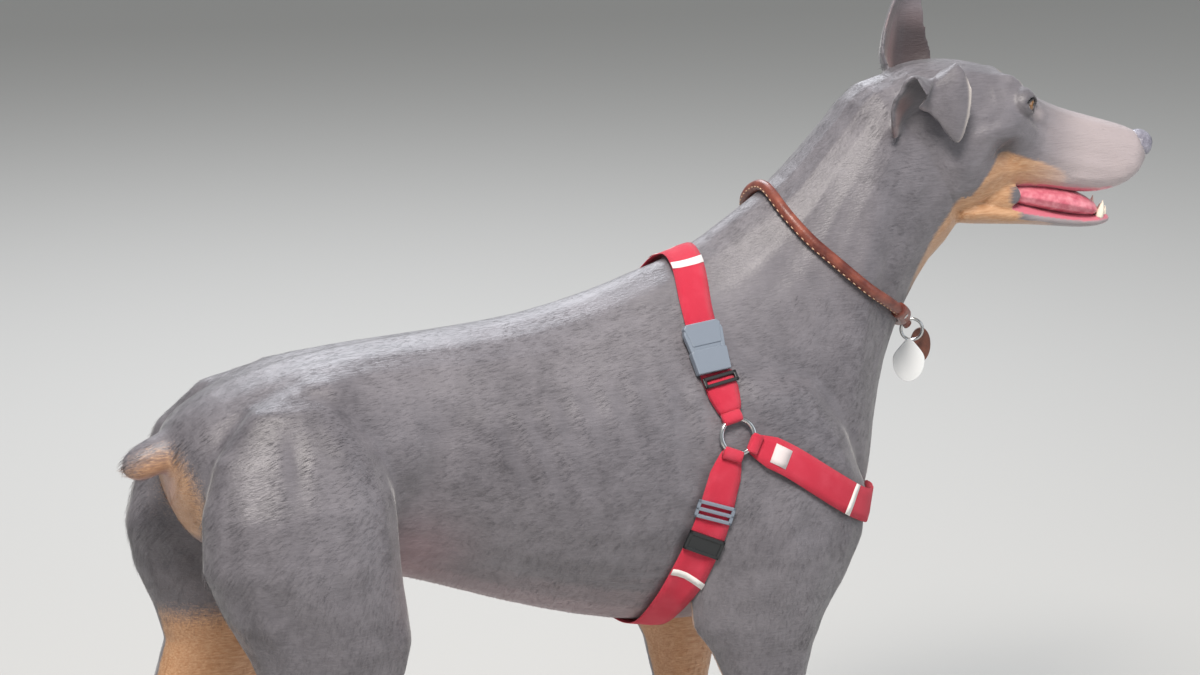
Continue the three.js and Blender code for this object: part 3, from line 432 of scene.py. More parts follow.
headRidges = [
    ((92, 22, 69), (114, 31, 61), 6, 2.0),
    ((106, 0, 70), (146, 0, 50), 5, -1.8),
    ((40, 0, 74), (90, 0, 72), 5, -1.0),
    ((108, 47, 30), (70, 56, 14), 6, 2.6),
    ((94, 50, 4), (116, 42, -8), 9, -5.0),
    ((60, 56, -10), (64, 52, -56), 16, 3.0),
    ((84, 44, 54), (56, 50, 50), 11, -3.0),
    ((122, 37, 36), (146, 31, 26), 5, -2.6),
    ((128, 31, 50), (156, 26, 43), 5, 1.4),
    ((150, 31, 2), (228, 24, -4), 7, 1.2),
    ((140, 36, -20), (180, 30, -14), 5, -1.4),
    ((126, 38, -30), (112, 44, -44), 4, -1.8),
    ((120, 44, -24), (104, 50, -40), 4, 1.6),
    ((226, 22, 6), (246, 16, 2), 6, 1.2),
    ((176, 20, 36), (216, 17, 33), 6, 1.0),
    ((92, 48, -48), (60, 52, -66), 5, -1.8),
    ((30, 46, -30), (10, 50, -56), 8, 2.0),
]


def ridgeLift(local, ridges):
    lift = np.zeros(len(local))
    mirroredPlaces = local.copy()
    mirroredPlaces[:, 1] = np.abs(mirroredPlaces[:, 1])
    for start, end, width, amount, *only in ridges:
        a = np.array(start, float)
        way = np.array(end, float) - a
        reach = way @ way
        near = np.abs(mirroredPlaces - (a + way / 2)).max(axis=1) < math.sqrt(reach) / 2 + 3 * width
        if only and only[0] != 0:
            near &= local[:, 1] * only[0] > 0
        chosen = mirroredPlaces[near]
        along = np.clip((chosen - a) @ way / reach, 0, 1)
        gap = np.linalg.norm(chosen - (a + along[:, None] * way), axis=1)
        fade = 0.35 + 0.65 * np.sin(np.pi * np.clip(along, 0.02, 0.98)) ** 0.6
        lift[near] += amount * fade * np.exp(-((gap / width) ** 2))
    return lift / 1000


def vertexNormals(mesh):
    normals = np.empty(len(mesh.vertices) * 3)
    mesh.vertex_normals.foreach_get("vector", normals)
    return normals.reshape(-1, 3)


points = meshArrays(skin.data)
normals = vertexNormals(skin.data)
model = toModel(points)
local = toHead(points)
headShare = smoothStep(local[:, 0], -30, 20)
relief = {"body": 1.45, "head": 1.2}
lift = relief["body"] * ridgeLift(model, bodyRidges) * (1 - headShare)
lift += relief["head"] * ridgeLift(local, headRidges) * headShare
points = points + normals * lift[:, None]
skin.data.vertices.foreach_set("co", points.ravel())
skin.data.update()
skin.data.calc_loop_triangles()
thinned = skin.modifiers.new("thinned", "DECIMATE")
thinned.ratio = 190000 / len(skin.data.loop_triangles)
graph = bpy.context.evaluated_depsgraph_get()
thinMesh = bpy.data.meshes.new_from_object(skin.evaluated_get(graph))
skin.modifiers.clear()
skin.data = thinMesh
skin.data.validate()
skin.data.polygons.foreach_set("use_smooth", [True] * len(skin.data.polygons))
print("ridges done", len(skin.data.polygons))


# Markings, painted shade and a painted highlight, from the same rules for the skin and for the tufts: each
# is a share from 0 to 1 at a place

def blob(local, at, size):
    far = ((local[:, 0] - at[0]) / size[0]) ** 2 + ((np.abs(local[:, 1]) - at[1]) / size[1]) ** 2
    return np.exp(-(far + ((local[:, 2] - at[2]) / size[2]) ** 2))


earEdge = [(39, -69, 66), (44, -74, 61), (47, -75, 45), (47.5, -74, 25), (45, -72, 8)]


def markingsAndPaintedLightOf(points, normals):
    m = toModel(points)
    h = toHead(points)
    onHead = smoothStep(h[:, 0], -20, 16) * smoothStep(m[:, 2], 620, 660)
    inward = normals[:, 1] * np.sign(m[:, 1])
    legArea = smoothStep(m[:, 2], 420, 330)
    rust = 1.25 * legArea * smoothStep(inward, 0.15, -0.35)
    slant = 60 * inward + 0.9 * (m[:, 0] - 16) * (m[:, 0] > -200) - 0.5 * (m[:, 0] + 540) * (m[:, 0] < -200)
    lowFore = smoothStep(m[:, 2] + slant, 210, 120) * (m[:, 0] > -200)
    lowHind = smoothStep(m[:, 2] + slant, 235, 120) * (m[:, 0] < -200)
    rust = np.maximum(rust, 1.2 * np.maximum(lowFore, lowHind))
    hindFront = blob(m, (-440, 80, 260), (30, 40, 70))
    rust = np.maximum(rust, 0.9 * hindFront)
    rust = np.maximum(rust, 1.5 * blob(m, (-535, 14, 505), (40, 36, 44)))
    rust = np.maximum(rust, 1.4 * blob(m, (150, 34, 462), (34, 17, 24)))
    # the cheek's patch: behind it a slanting line from cheekbone to throat, above it the line of the lip
    behind = smoothStep(h[:, 0] - (96 + (h[:, 2] + 8) * 0.42), -7, 8)
    above = smoothStep(h[:, 2] - (4 - 0.16 * (h[:, 0] - 96)), 5, -9)
    ahead = smoothStep(h[:, 0], 196, 150) * np.where(h[:, 2] < -36, smoothStep(h[:, 0], 150, 122), 1)
    under = smoothStep(-normals[:, 2], 0.35, 0.8) * (h[:, 2] < -58) * smoothStep(h[:, 0], 190, 150)
    rust = np.maximum(rust, 1.25 * onHead * behind * above * np.maximum(ahead, under))
    throat = smoothStep(
        m[:, 0] - (236 - 0.6 * (720 - m[:, 2])), -12, 8,
    ) * smoothStep(m[:, 2], 590, 668) * (m[:, 2] < 740)
    rust = np.maximum(rust, 1.1 * throat * (h[:, 2] < -46) * (h[:, 0] < 110))
    rust = np.maximum(rust, 0.75 * onHead * blob(h, (112, 22, 67), (7, 6, 8)))
    lips = onHead * smoothStep(
        np.abs(h[:, 2] + 0.06 * h[:, 0] + 32), 13, 6,
    ) * smoothStep(h[:, 0], 106, 134)
    rust = rust * (1 - 0.85 * lips)
    muzzle = onHead * smoothStep(h[:, 0], 122, 200) * smoothStep(h[:, 2], -44, -26)
    chin = 0.55 * onHead * smoothStep(h[:, 0], 130, 160) * smoothStep(h[:, 2], -44, -50)
    muzzle = np.maximum(muzzle, chin)
    rust = rust * (1 - 0.7 * onHead * smoothStep(h[:, 0], 176, 214))
    muzzle = np.maximum(muzzle, 0.8 * onHead * blob(h, (134, 35, 40), (11, 12, 8)))
    belly = smoothStep(-normals[:, 2], 0.5, 0.95) * (m[:, 2] > 300) * (m[:, 0] < 60)
    pink = 0.9 * blob(m, (-330, 66, 436), (40, 40, 36)) + 0.7 * belly
    pink = pink + 0.8 * blob(m, (-540, 6, 520), (20, 12, 22))
    inMouth = onHead * (h[:, 0] > 108) * (h[:, 0] < 236) * (
        np.abs(h[:, 1]) < 27
    ) * (h[:, 2] < -20) * (h[:, 2] > -56)
    upJaw = inMouth * smoothStep(normals[:, 2], 0.2, 0.6) * (h[:, 2] < -40)
    palate = inMouth * smoothStep(-normals[:, 2], 0.55, 0.85) * (np.abs(h[:, 1]) < 22)
    gum = np.clip(upJaw + palate, 0, 1)
    # painted shade in the hollow under the cheekbone, below the eye
    dark = 0.85 * onHead * blob(h, (103, 50, 3), (12, 14, 15))
    eye = np.zeros(len(points))
    for sign in (1, -1):
        centre = np.array(eyeSpot["at"], float) * (1, sign, 1)
        gap = np.linalg.norm(h - centre, axis=1)
        eye = np.maximum(eye, smoothStep(gap, 15.6, 12.6))
    dark = np.maximum(dark, 0.9 * eye)
    nostrils = onHead * smoothStep(h[:, 0], 240, 250) * smoothStep(h[:, 2], 2, 12)
    muzzle = np.clip(muzzle, 0, 1) * (1 - 0.3 * nostrils)
    legward = smoothStep(m[:, 2], 470, 380) * (1 - onHead)
    neckward = smoothStep(m[:, 0] + 0.5 * (m[:, 2] - 640), 0, 70) * (m[:, 2] > 480) * (1 - onHead)
    earRight = smoothStep(np.linalg.norm((h - (16, -66, 34)) / (40, 14, 52), axis=1), 1.15, 0.8)
    earLeft = smoothStep(np.linalg.norm((h - (16, 46, 104)) / (46, 30, 60), axis=1), 1.1, 0.9)
    facing = normals @ np.array(headTurn)[:3, :3]
    hollow = (facing @ np.array((0.55, -0.75, 0.1)) > 0.25) & (h[:, 1] > 20)
    earInside = earLeft * hollow * smoothStep(h[:, 2], 130, 60)
    earInside = np.maximum(
        earInside, earRight * smoothStep(h[:, 2] + 0.9 * (h[:, 0] - 8), 36, 8) * (h[:, 1] < -46),
    )
    # painted shade in the cup of the far ear
    dark = np.maximum(
        dark, 0.9 * earLeft * hollow * smoothStep(h[:, 2], 112, 84) * smoothStep(h[:, 0], 2, 14),
    )
    # painted highlight: a pale line along the edge of the folded ear
    rim = np.zeros(len(points))
    for start, end in zip(earEdge, earEdge[1:]):
        a = np.array(start, float)
        way = np.array(end, float) - a
        along = np.clip((h - a) @ way / (way @ way), 0, 1)
        gap = np.linalg.norm(h - (a + along[:, None] * way), axis=1)
        rim = np.maximum(rim, np.exp(-((gap / 2.0) ** 2)))
    marksWithPaintedLight = {
        "rust": rust,
        "muzzle": muzzle,
        "skinPink": pink,
        "earInside": earInside,
        "gum": gum,
        "dark": dark,
        "paintedRimHighlight": rim,
        "legward": legward,
        "neckward": neckward,
    }
    return {name: np.clip(values, 0, 1.5 if name == "rust" else 1) for name, values in marksWithPaintedLight.items()}


def writeAttributes(mesh, values):
    for name, column in values.items():
        layer = mesh.attributes.new(name, "FLOAT", "POINT")
        layer.data.foreach_set("value", column.astype(np.float32))


normals = vertexNormals(skin.data)
writeAttributes(skin.data, markingsAndPaintedLightOf(meshArrays(skin.data), normals))
furSkin = furMaterial("short satin fur on skin", False)
furTufts = furMaterial("short satin hair", True)
skin.data.materials.append(furSkin)
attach(skin, "root")
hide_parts(*sorted(set(bodyNodes + headNodes)))
print("skin marked")


# Tufts: thin tapered blades along the lie, longest where the coat breaks the outline

def lieAt(points):
    m = toModel(points)
    h = toHead(points)
    onHead = smoothStep(h[:, 0], -20, 16) * smoothStep(m[:, 2], 620, 660)
    lie = np.tile(np.array((-1.0, 0, -0.25)), (len(points), 1))
    legs = (smoothStep(m[:, 2], 520, 400) * (1 - onHead))[:, None]
    lie = lie * (1 - legs) + np.array((-0.25, 0, -1.0)) * legs
    neck = (smoothStep(m[:, 0] + 0.5 * (m[:, 2] - 640), 0, 70) * (m[:, 2] > 480) * (1 - onHead))[:, None]
    lie = lie * (1 - neck) + np.array((-0.7, 0, -0.75)) * neck
    backwards = np.array(headTurn)[:3, :3] @ np.array((-1.0, 0, -0.12))
    lie = lie * (1 - onHead[:, None]) + backwards * onHead[:, None]
    earUp = (onHead * smoothStep(h[:, 2], 66, 80) * (h[:, 0] < 60) * (h[:, 1] > 0))[:, None]
    lie = lie * (1 - earUp) + np.array((0.1, 0.05, 1.0)) * earUp
    earDown = (onHead * smoothStep(-h[:, 1], 56, 64) * (h[:, 2] > -4))[:, None]
    return lie * (1 - earDown) + np.array((0.75, -0.1, -0.55)) * earDown


tuftPlan = {"count": 92000, "width": 0.0005, "length": 0.0092, "faceLength": 0.0032, "rise": 0.016}
triangles = skin.data.loop_triangles
skin.data.calc_loop_triangles()
corners = np.empty(len(triangles) * 3, dtype=np.int64)
triangles.foreach_get("vertices", corners)
corners = corners.reshape(-1, 3)
points = meshArrays(skin.data)
normals = vertexNormals(skin.data)
edgesA = points[corners[:, 1]] - points[corners[:, 0]]
edgesB = points[corners[:, 2]] - points[corners[:, 0]]
areas = np.linalg.norm(np.cross(edgesA, edgesB), axis=1) / 2
chosen = numbers.choice(len(corners), tuftPlan["count"], p=areas / areas.sum())
shares = numbers.random((tuftPlan["count"], 2))
flip = shares.sum(axis=1) > 1
shares[flip] = 1 - shares[flip]
weights = np.column_stack((1 - shares.sum(axis=1), shares))
roots = (points[corners[chosen]] * weights[:, :, None]).sum(axis=1)
up = (normals[corners[chosen]] * weights[:, :, None]).sum(axis=1)
up /= np.linalg.norm(up, axis=1)[:, None]
marksWithPaintedLight = markingsAndPaintedLightOf(roots, up)
local = toHead(roots)
model = toModel(roots)
keep = (marksWithPaintedLight["gum"] < 0.2) & (model[:, 2] > 6) & (marksWithPaintedLight["dark"] < 0.85)
lie = lieAt(roots)
lie = lie - (lie * up).sum(axis=1)[:, None] * up
lie /= np.maximum(np.linalg.norm(lie, axis=1), 1e-6)[:, None]
side = np.cross(up, lie)
onFace = smoothStep(local[:, 0], 0, 90) * smoothStep(model[:, 2], 620, 660)
onFoot = smoothStep(model[:, 2], 170, 60)
onEar = smoothStep(
    np.abs(local[:, 1]) + 0.6 * np.maximum(local[:, 2], 0), 60, 78,
) * (local[:, 0] < 70) * (model[:, 2] > 640)
keep &= numbers.random(len(roots)) > 0.5 * onEar
short = np.clip(onFace + onFoot + onEar, 0, 1)
backOfThigh = blob(model, (-530, 70, 440), (40, 60, 90)) + blob(model, (-540, 10, 560), (40, 30, 30))
length = tuftPlan["length"] * (1 - short) + tuftPlan["faceLength"] * short
length = length * (0.7 + 0.6 * numbers.random(len(roots))) * (1 + 0.6 * np.clip(backOfThigh, 0, 1))
bend = side * (numbers.normal(0, 0.07, len(roots)) * length)[:, None]
rise = up * (
    length * (tuftPlan["rise"] + 0.026 * numbers.random(len(roots))) * (1 - 0.7 * onEar)
)[:, None]
width = tuftPlan["width"] * (0.75 + 0.5 * numbers.random(len(roots))) * (1 - 0.45 * short)
sunk = roots - up * 0.0004
corner0 = sunk - side * (width / 2)[:, None]
corner1 = sunk + side * (width / 2)[:, None]
middle = roots + lie * (length * 0.55)[:, None] + rise * 0.8 + bend * 0.35
mid0 = middle - side * (width * 0.36)[:, None]
mid1 = middle + side * (width * 0.36)[:, None]
tips = roots + lie * length[:, None] + rise * 0.9 + bend


def patchPlaces(roots, up):
    m = toModel(roots)
    outer = (up[:, 1] * m[:, 1] > 0).astype(float)
    left = (m[:, 1] > 0).astype(float)
    u = 0.01 + 0.48 * np.clip((m[:, 0] + 660) / 1110, 0, 1) + 0.5 * left
    v = 0.01 + 0.46 * np.clip(m[:, 2] / 925, 0, 1) + 0.5 * outer
    return np.column_stack((u, v))


def tuftObject(name, chosen):
    count = len(chosen)
    stack = np.stack([corner0[chosen], corner1[chosen], mid1[chosen], mid0[chosen], tips[chosen]], axis=1)
    base = np.arange(count)[:, None] * 5
    mesh = bpy.data.meshes.new(name)
    mesh.vertices.add(count * 5)
    mesh.vertices.foreach_set("co", stack.ravel())
    quads = base + np.array([0, 1, 2, 3])
    points3 = base + np.array([3, 2, 4])
    order = np.concatenate([quads, points3], axis=1).ravel()
    mesh.loops.add(count * 7)
    mesh.loops.foreach_set("vertex_index", order)
    starts = (np.arange(count)[:, None] * 7 + np.array([0, 4])).ravel()
    mesh.polygons.add(count * 2)
    mesh.polygons.foreach_set("loop_start", starts)
    mesh.polygons.foreach_set("use_smooth", [True] * (count * 2))
    mesh.update()
    patch = patchPlaces(roots[chosen], up[chosen])
    half = 0.0015
    shape = np.array([(-1, -1), (1, -1), (0.7, 0.2), (-0.7, 0.2), (0, 1)]) * half
    uvPoints = (patch[:, None, :] + shape[None, :, :]).reshape(-1, 2)
    layer = mesh.uv_layers.new(name="OFBake")
    layer.data.foreach_set("uv", uvPoints[order].ravel())
    writeAttributes(mesh, {key: np.repeat(values[chosen], 5) for key, values in marksWithPaintedLight.items()})
    mesh.materials.append(furTufts)
    mesh.validate()
    made = bpy.data.objects.new(name, mesh)
    bpy.context.scene.collection.objects.link(made)
    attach(made, "root")
    return made


kept = np.nonzero(keep)[0]
halves = {"coat_left": kept[model[kept, 1] > 0], "coat_right": kept[model[kept, 1] <= 0]}
for name, chosenHere in halves.items():
    tuftObject(name, chosenHere)
print("tufts", len(kept))


# The body as a target for what is worn

skinTree = BVHTree.FromPolygons(
    [v.co.copy() for v in skin.data.vertices], [tuple(p.vertices) for p in skin.data.polygons],
)


def surfaceAlong(spot, outward, tree=skinTree):
    hit = tree.ray_cast(spot + outward * 0.3, -outward)
    return 0.3 - hit[3] if hit[0] is not None else 0.0


def treeOf(objects):
    spots = []
    faces = []
    for thing in objects:
        first = len(spots)
        spots += [vert.co.copy() for vert in thing.data.vertices]
        faces += [[first + i for i in face.vertices] for face in thing.data.polygons]
    return BVHTree.FromPolygons(spots, faces)


def trunkInside(spot):
    return Vector((min(spot.x, place(60, 0, 0).x), 0, 0.480))


def splinePoints(corners, step, loop=False):
    count = len(corners)
    spans = count if loop else count - 1
    result = []
    for i in range(spans):
        picks = [
            corners[(i + k) % count] if loop else corners[
                min(max(i + k, 0), count - 1)
            ] for k in (-1, 0, 1, 2)
        ]
        a, b, c, d = picks
        parts = max(2, int((c - b).length / step))
        for j in range(parts):
            t = j / parts
            result.append(
                0.5 * (
                    (2 * b) + (c - a) * t + (
                        2 * a - 5 * b + 4 * c - d
                    ) * t * t + (3 * b - a - 3 * c + d) * t ** 3
                )
            )
    if not loop:
        result.append(corners[-1].copy())
    return result


def linkPiece(name, bm, material, nodes=(), smooth=True):
    made = objectFrom(name, bm, smooth)
    made.data.materials.append(material)
    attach(made, "root")
    if nodes:
        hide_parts(*nodes)
    return made


# Woven red webbing with a dark twill, and white stitching across its ends
def webbingMaterial():
    material, tree, shader = blankMaterial("woven red webbing")
    uv = node(tree, "UVMap", {}, uv_map="strap").outputs[0]
    weaveA = node(
        tree,
        "TexWave",
        {"Vector": uv, "Scale": 95.0, "Distortion": 0.6},
        bands_direction="DIAGONAL",
    )
    weaveB = node(tree, "TexWave", {"Vector": uv, "Scale": 160.0, "Distortion": 0.4}, bands_direction="Y")
    height = maths(
        tree,
        "ADD",
        weaveA.outputs["Fac"],
        maths(tree, "MULTIPLY", weaveB.outputs["Fac"], 0.6),
    )
    worn = noiseAt(tree, node(tree, "TexCoord", {}).outputs["Object"], 60.0, 4.0)
    tone = mixed(tree, spread(tree, height, 0.2, 1.3), linear("#bb1a38"), linear("#e6324f"))
    tone = mixed(tree, spread(tree, worn, 0.45, 0.75, 0.0, 0.25), tone, linear("#f0647a"))
    bump = node(tree, "Bump", {"Height": height, "Strength": 0.5, "Distance": 0.0006})
    feed(
        tree,
        shader,
        {"Base Color": tone, "Roughness": 0.72, "Sheen Weight": 0.08, "Normal": bump.outputs[0]},
    )
    return material


redWebbing = webbingMaterial()
whiteThread = plainMaterial("white stitching", {"Base Color": linear("#e9e6e4"), "Roughness": 0.7})
webbing = {"width": 0.029, "thickness": 0.0024, "clear": 0.0016}


def strapFrames(corners, width, narrow=(False, False)):
    line = splinePoints([Vector(c) for c in corners], 0.006)
    frames = []
    last = len(line) - 1
    for i, spot in enumerate(line):
        ahead = (line[min(i + 1, last)] - line[max(i - 1, 0)]).normalized()
        outward = (spot - trunkInside(spot)).normalized()
        sideways = ahead.cross(outward).normalized()
        wide = width
        fromEnd = [i * 0.006 if narrow[0] else 1, (last - i) * 0.006 if narrow[1] else 1]
        wide *= 0.62 + 0.38 * min(1, min(fromEnd) / 0.018)
        offsets = [wide * share for share in (-0.5, -0.25, 0, 0.25, 0.5)]
        heights = [surfaceAlong(spot + sideways * offset, outward) for offset in offsets]
        frames.append(
            {"spot": spot, "outward": outward, "side": sideways, "offsets": offsets, "heights": heights}
        )
    for _ in range(40):
        for i in range(1, last):
            for k in range(5):
                straight = (frames[i - 1]["heights"][k] + frames[i + 1]["heights"][k]) / 2
                frames[i]["heights"][k] = max(frames[i]["heights"][k], straight)
    for f in frames:
        h = f["heights"]
        f["heights"] = [
            max(h[0], (h[1] + h[0]) / 2),
            max(h[1], (h[0] + h[2]) / 2),
            max(h[2], (h[1] + h[3]) / 2),
            max(h[3], (h[2] + h[4]) / 2),
            max(h[4], (h[3] + h[4]) / 2),
        ]
    return frames


def strapMesh(bm, frames, clear=None, thickness=None, start=0, end=None):
    clear = webbing["clear"] if clear is None else clear
    thickness = webbing["thickness"] if thickness is None else thickness
    layer = bm.loops.layers.uv.get("strap") or bm.loops.layers.uv.new("strap")
    rings = []
    run = 0.0
    chosenFrames = frames[start:end]
    for i, f in enumerate(chosenFrames):
        if i > 0:
            run += (f["spot"] - chosenFrames[i - 1]["spot"]).length
        low = [
            f["spot"] + f["side"] * o + f["outward"] * (h + clear) for o, h in zip(
                f["offsets"], f["heights"],
            )
        ]
        high = [p + f["outward"] * thickness * (0.55 if k in (0, 4) else 1) for k, p in enumerate(low)]
        low = [p + f["outward"] * thickness * (0.3 if k in (0, 4) else 0) for k, p in enumerate(low)]
        ring = [bm.verts.new(p) for p in low + high[::-1]]
        across = [f["offsets"][k] for k in (0, 1, 2, 3, 4, 4, 3, 2, 1, 0)]
        rings.append((ring, run, across))
    for (ringA, runA, acrossA), (ringB, runB, acrossB) in zip(rings, rings[1:]):
        for k in range(10):
            n = (k + 1) % 10
            face = bm.faces.new((ringA[k], ringB[k], ringB[n], ringA[n]))
            for loop, (u, v) in zip(
                face.loops,
                ((runA, acrossA[k]), (runB, acrossB[k]), (runB, acrossB[n]), (runA, acrossA[n])),
            ):
                loop[layer].uv = (u * 10, v * 10)
    for ring, _, _ in (rings[0], rings[-1]):
        bm.faces.new(ring)


def flipped(corners):
    return [Vector((c.x, -c.y, c.z)) for c in corners]


rightPaths = {
    "back": [(-48, -75, 604), (-46, -52, 634), (-40, -26, 662), (-37, 0, 672)],
    "shoulder": [(-47, -80, 586), (-42, -92, 562), (-38.5, -99, 545)],
    "chest": [
        (-21, -111, 519),
        (10, -119, 503),
        (45, -120, 480),
        (85, -108, 455),
        (122, -72, 438),
        (147, -20, 429),
    ],
    "girth": [
        (-42, -108, 513),
        (-52, -109, 486),
        (-62, -106, 450),
        (-76, -98, 412),
        (-86, -78, 372),
        (-86, -40, 340),
    ],
}
paths = {name: [place(*p) for p in corners] for name, corners in rightPaths.items()}
strapPlans = {
    "strap_back": (paths["back"] + flipped(paths["back"][:-1])[::-1], (False, False)),
    "strap_girth": (paths["girth"] + [place(-86, 0, 332)] + flipped(paths["girth"])[::-1], (True, True)),
    "strap_shoulder_right": (paths["shoulder"], (False, True)),
    "strap_shoulder_left": (flipped(paths["shoulder"]), (False, True)),
    "strap_chest_right": (paths["chest"], (True, True)),
    "strap_chest_left": (flipped(paths["chest"]), (True, True)),
}
strapRuns = {}
straps = []
for name, (corners, narrow) in strapPlans.items():
    runs = strapFrames(corners, webbing["width"], narrow)
    strapRuns[name] = runs
    bm = bmesh.new()
    strapMesh(bm, runs)
    # the end is folded back and sewn down, a second layer over the first
    if name != "strap_girth" and name != "strap_back":
        strapMesh(bm, runs, clear=webbing["clear"] + webbing["thickness"], start=-6)
    bmesh.ops.recalc_face_normals(bm, faces=bm.faces[:])
    straps.append(linkPiece(name, bm, redWebbing, [name]))

# White stitched bars across the webbing where the photo shows them
stitchBars = {
    "strap_back": [12, -14],
    "strap_chest_right": [17],
    "strap_chest_left": [17],
    "strap_girth": [17, -18],
}
stitchLook = {"clear": webbing["clear"] + webbing["thickness"] * 0.96, "thickness": 0.0005}
bm = bmesh.new()
for name, bars in stitchBars.items():
    for start in bars:
        strapMesh(bm, strapRuns[name], start=start, end=start + 2, **stitchLook)
bmesh.ops.recalc_face_normals(bm, faces=bm.faces[:])
linkPiece("strap_stitching", bm, whiteThread)

# The bare woven label on the chest strap
labelRuns = []
for run in strapRuns["strap_chest_right"]:
    labelRuns.append(dict(run, offsets=[offset * 0.62 for offset in run["offsets"]]))
bm = bmesh.new()
strapMesh(
    bm,
    labelRuns,
    clear=webbing["clear"] + webbing["thickness"] * 0.98,
    thickness=0.0006,
    start=3,
    end=6,
)
bmesh.ops.recalc_face_normals(bm, faces=bm.faces[:])
linkPiece(
    "strap_label",
    bm,
    plainMaterial("pale woven label", {"Base Color": linear("#dcd2d3"), "Roughness": 0.6}),
)
print("straps done")


# Rings, buckles and plates of the harness

steel = plainMaterial(
    "polished steel", {"Base Color": linear("#c9cbcc"), "Metallic": 1.0, "Roughness": 0.22},
)
greyPlastic = plainMaterial("grey moulded plastic", {"Base Color": linear("#7e8896"), "Roughness": 0.38})
blackPlastic = plainMaterial("black moulded plastic", {"Base Color": linear("#24272a"), "Roughness": 0.4})


def torus(bm, matrix, radius, wire, around=64, section=14):
    rings = []
    for i in range(around):
        a = 2 * math.pi * i / around
        ring = []
        for j in range(section):
            b = 2 * math.pi * j / section
            reach = radius + wire * math.cos(b)
            ring.append(
                bm.verts.new(
                    matrix @ Vector((reach * math.cos(a), reach * math.sin(a), wire * math.sin(b)))
                )
            )
        rings.append(ring)
    for i in range(around):
        for j in range(section):
            n = (i + 1) % around
            k = (j + 1) % section
            bm.faces.new((rings[i][j], rings[n][j], rings[n][k], rings[i][k]))


def onBody(at, along, clear, reach=0.014, tree=skinTree):
    spot = place(*at)
    ray = (spot - trunkInside(spot)).normalized()

    def touch(offset):
        return spot + offset + ray * surfaceAlong(spot + offset, ray, tree)

    sideways = ray.cross(Vector(along)).normalized() * reach
    onwards = sideways.cross(ray).normalized() * reach
    acrossBody = touch(sideways) - touch(-sideways)
    alongBody = touch(onwards) - touch(-onwards)
    outward = alongBody.cross(acrossBody).normalized()
    side = outward.cross(alongBody).normalized()
    ahead = side.cross(outward)
    turned = Matrix((ahead, side, outward)).transposed().to_4x4()
    return Matrix.Translation(touch(Vector((0, 0, 0))) + outward * clear) @ turned


mirrorY = Matrix.Scale(-1, 4, (0, 1, 0))
sideRingAt = onBody((-35, -106, 527), (0, 0, 1), 0.0062)
frontRingAt = onBody((150, 0, 428), (0, 1, 0), 0.0062)
for name, matrix in (
    ("ring_side_right", sideRingAt),
    ("ring_side_left", mirrorY @ sideRingAt),
    ("ring_front", frontRingAt),
):
    bm = bmesh.new()
    torus(bm, matrix, 0.0155, 0.0023)
    bmesh.ops.recalc_face_normals(bm, faces=bm.faces[:])
    linkPiece(name, bm, steel, [name])


def sleeve(bm, matrix, towards):
    centre = matrix.translation
    outward = matrix.to_3x3() @ Vector((0, 0, 1))
    way = towards - centre
    way = (way - outward * way.dot(outward)).normalized()
    side = outward.cross(way)
    spot = centre + way * 0.0158
    layer = bm.loops.layers.uv.get("strap") or bm.loops.layers.uv.new("strap")
    rings = []
    for i in range(9):
        share = i / 8 - 0.5
        ring = []
        for j in range(16):
            a = 2 * math.pi * j / 16
            stretch = 1.7 if math.cos(a) > 0 else 1.0
            roll = way * math.cos(a) * 0.0042 * stretch + outward * math.sin(a) * 0.0042
            ring.append(bm.verts.new(spot + side * share * 0.0175 + roll))
        rings.append(ring)
    for i in range(8):
        for j in range(16):
            k = (j + 1) % 16
            face = bm.faces.new((rings[i][j], rings[i + 1][j], rings[i + 1][k], rings[i][k]))
            for loop, (u, v) in zip(face.loops, ((j, i), (j, i + 1), (k, i + 1), (k, i))):
                loop[layer].uv = (u * 0.02, v * 0.02)
    bm.faces.new(rings[0])
    bm.faces.new(rings[-1])


bm = bmesh.new()
for mirror in (Matrix.Identity(4), mirrorY):
    for name, index in (("shoulder", 1), ("chest", 1), ("girth", 1)):
        target = paths[name][index] if mirror == Matrix.Identity(4) else flipped(paths[name])[index]
        sleeve(bm, mirror @ sideRingAt, target)
    target = paths["chest"][4] if mirror == Matrix.Identity(4) else flipped(paths["chest"])[4]
    sleeve(bm, frontRingAt, target)
bmesh.ops.recalc_face_normals(bm, faces=bm.faces[:])
linkPiece("strap_sleeves", bm, redWebbing)


def prism(bm, matrix, outline, low, high, bevel, segments=3):
    piece = bmesh.new()
    base = [piece.verts.new((x, y, low)) for x, y in outline]
    face = piece.faces.new(base)
    grownFaces = bmesh.ops.extrude_face_region(piece, geom=[face])
    bmesh.ops.translate(
        piece,
        verts=[v for v in grownFaces["geom"] if isinstance(v, bmesh.types.BMVert)],
        vec=(0, 0, high - low),
    )
    bmesh.ops.bevel(
        piece,
        geom=piece.edges[:],
        offset=bevel,
        segments=segments,
        profile=0.5,
        affect="EDGES",
        material=-1,
    )
    bmesh.ops.transform(piece, matrix=matrix, verts=piece.verts)
    mesh = bpy.data.meshes.new("prism")
    piece.to_mesh(mesh)
    piece.free()
    bm.from_mesh(mesh)
    bpy.data.meshes.remove(mesh)


def scaled(points, share=0.001):
    return [(x * share, y * share) for x, y in points]


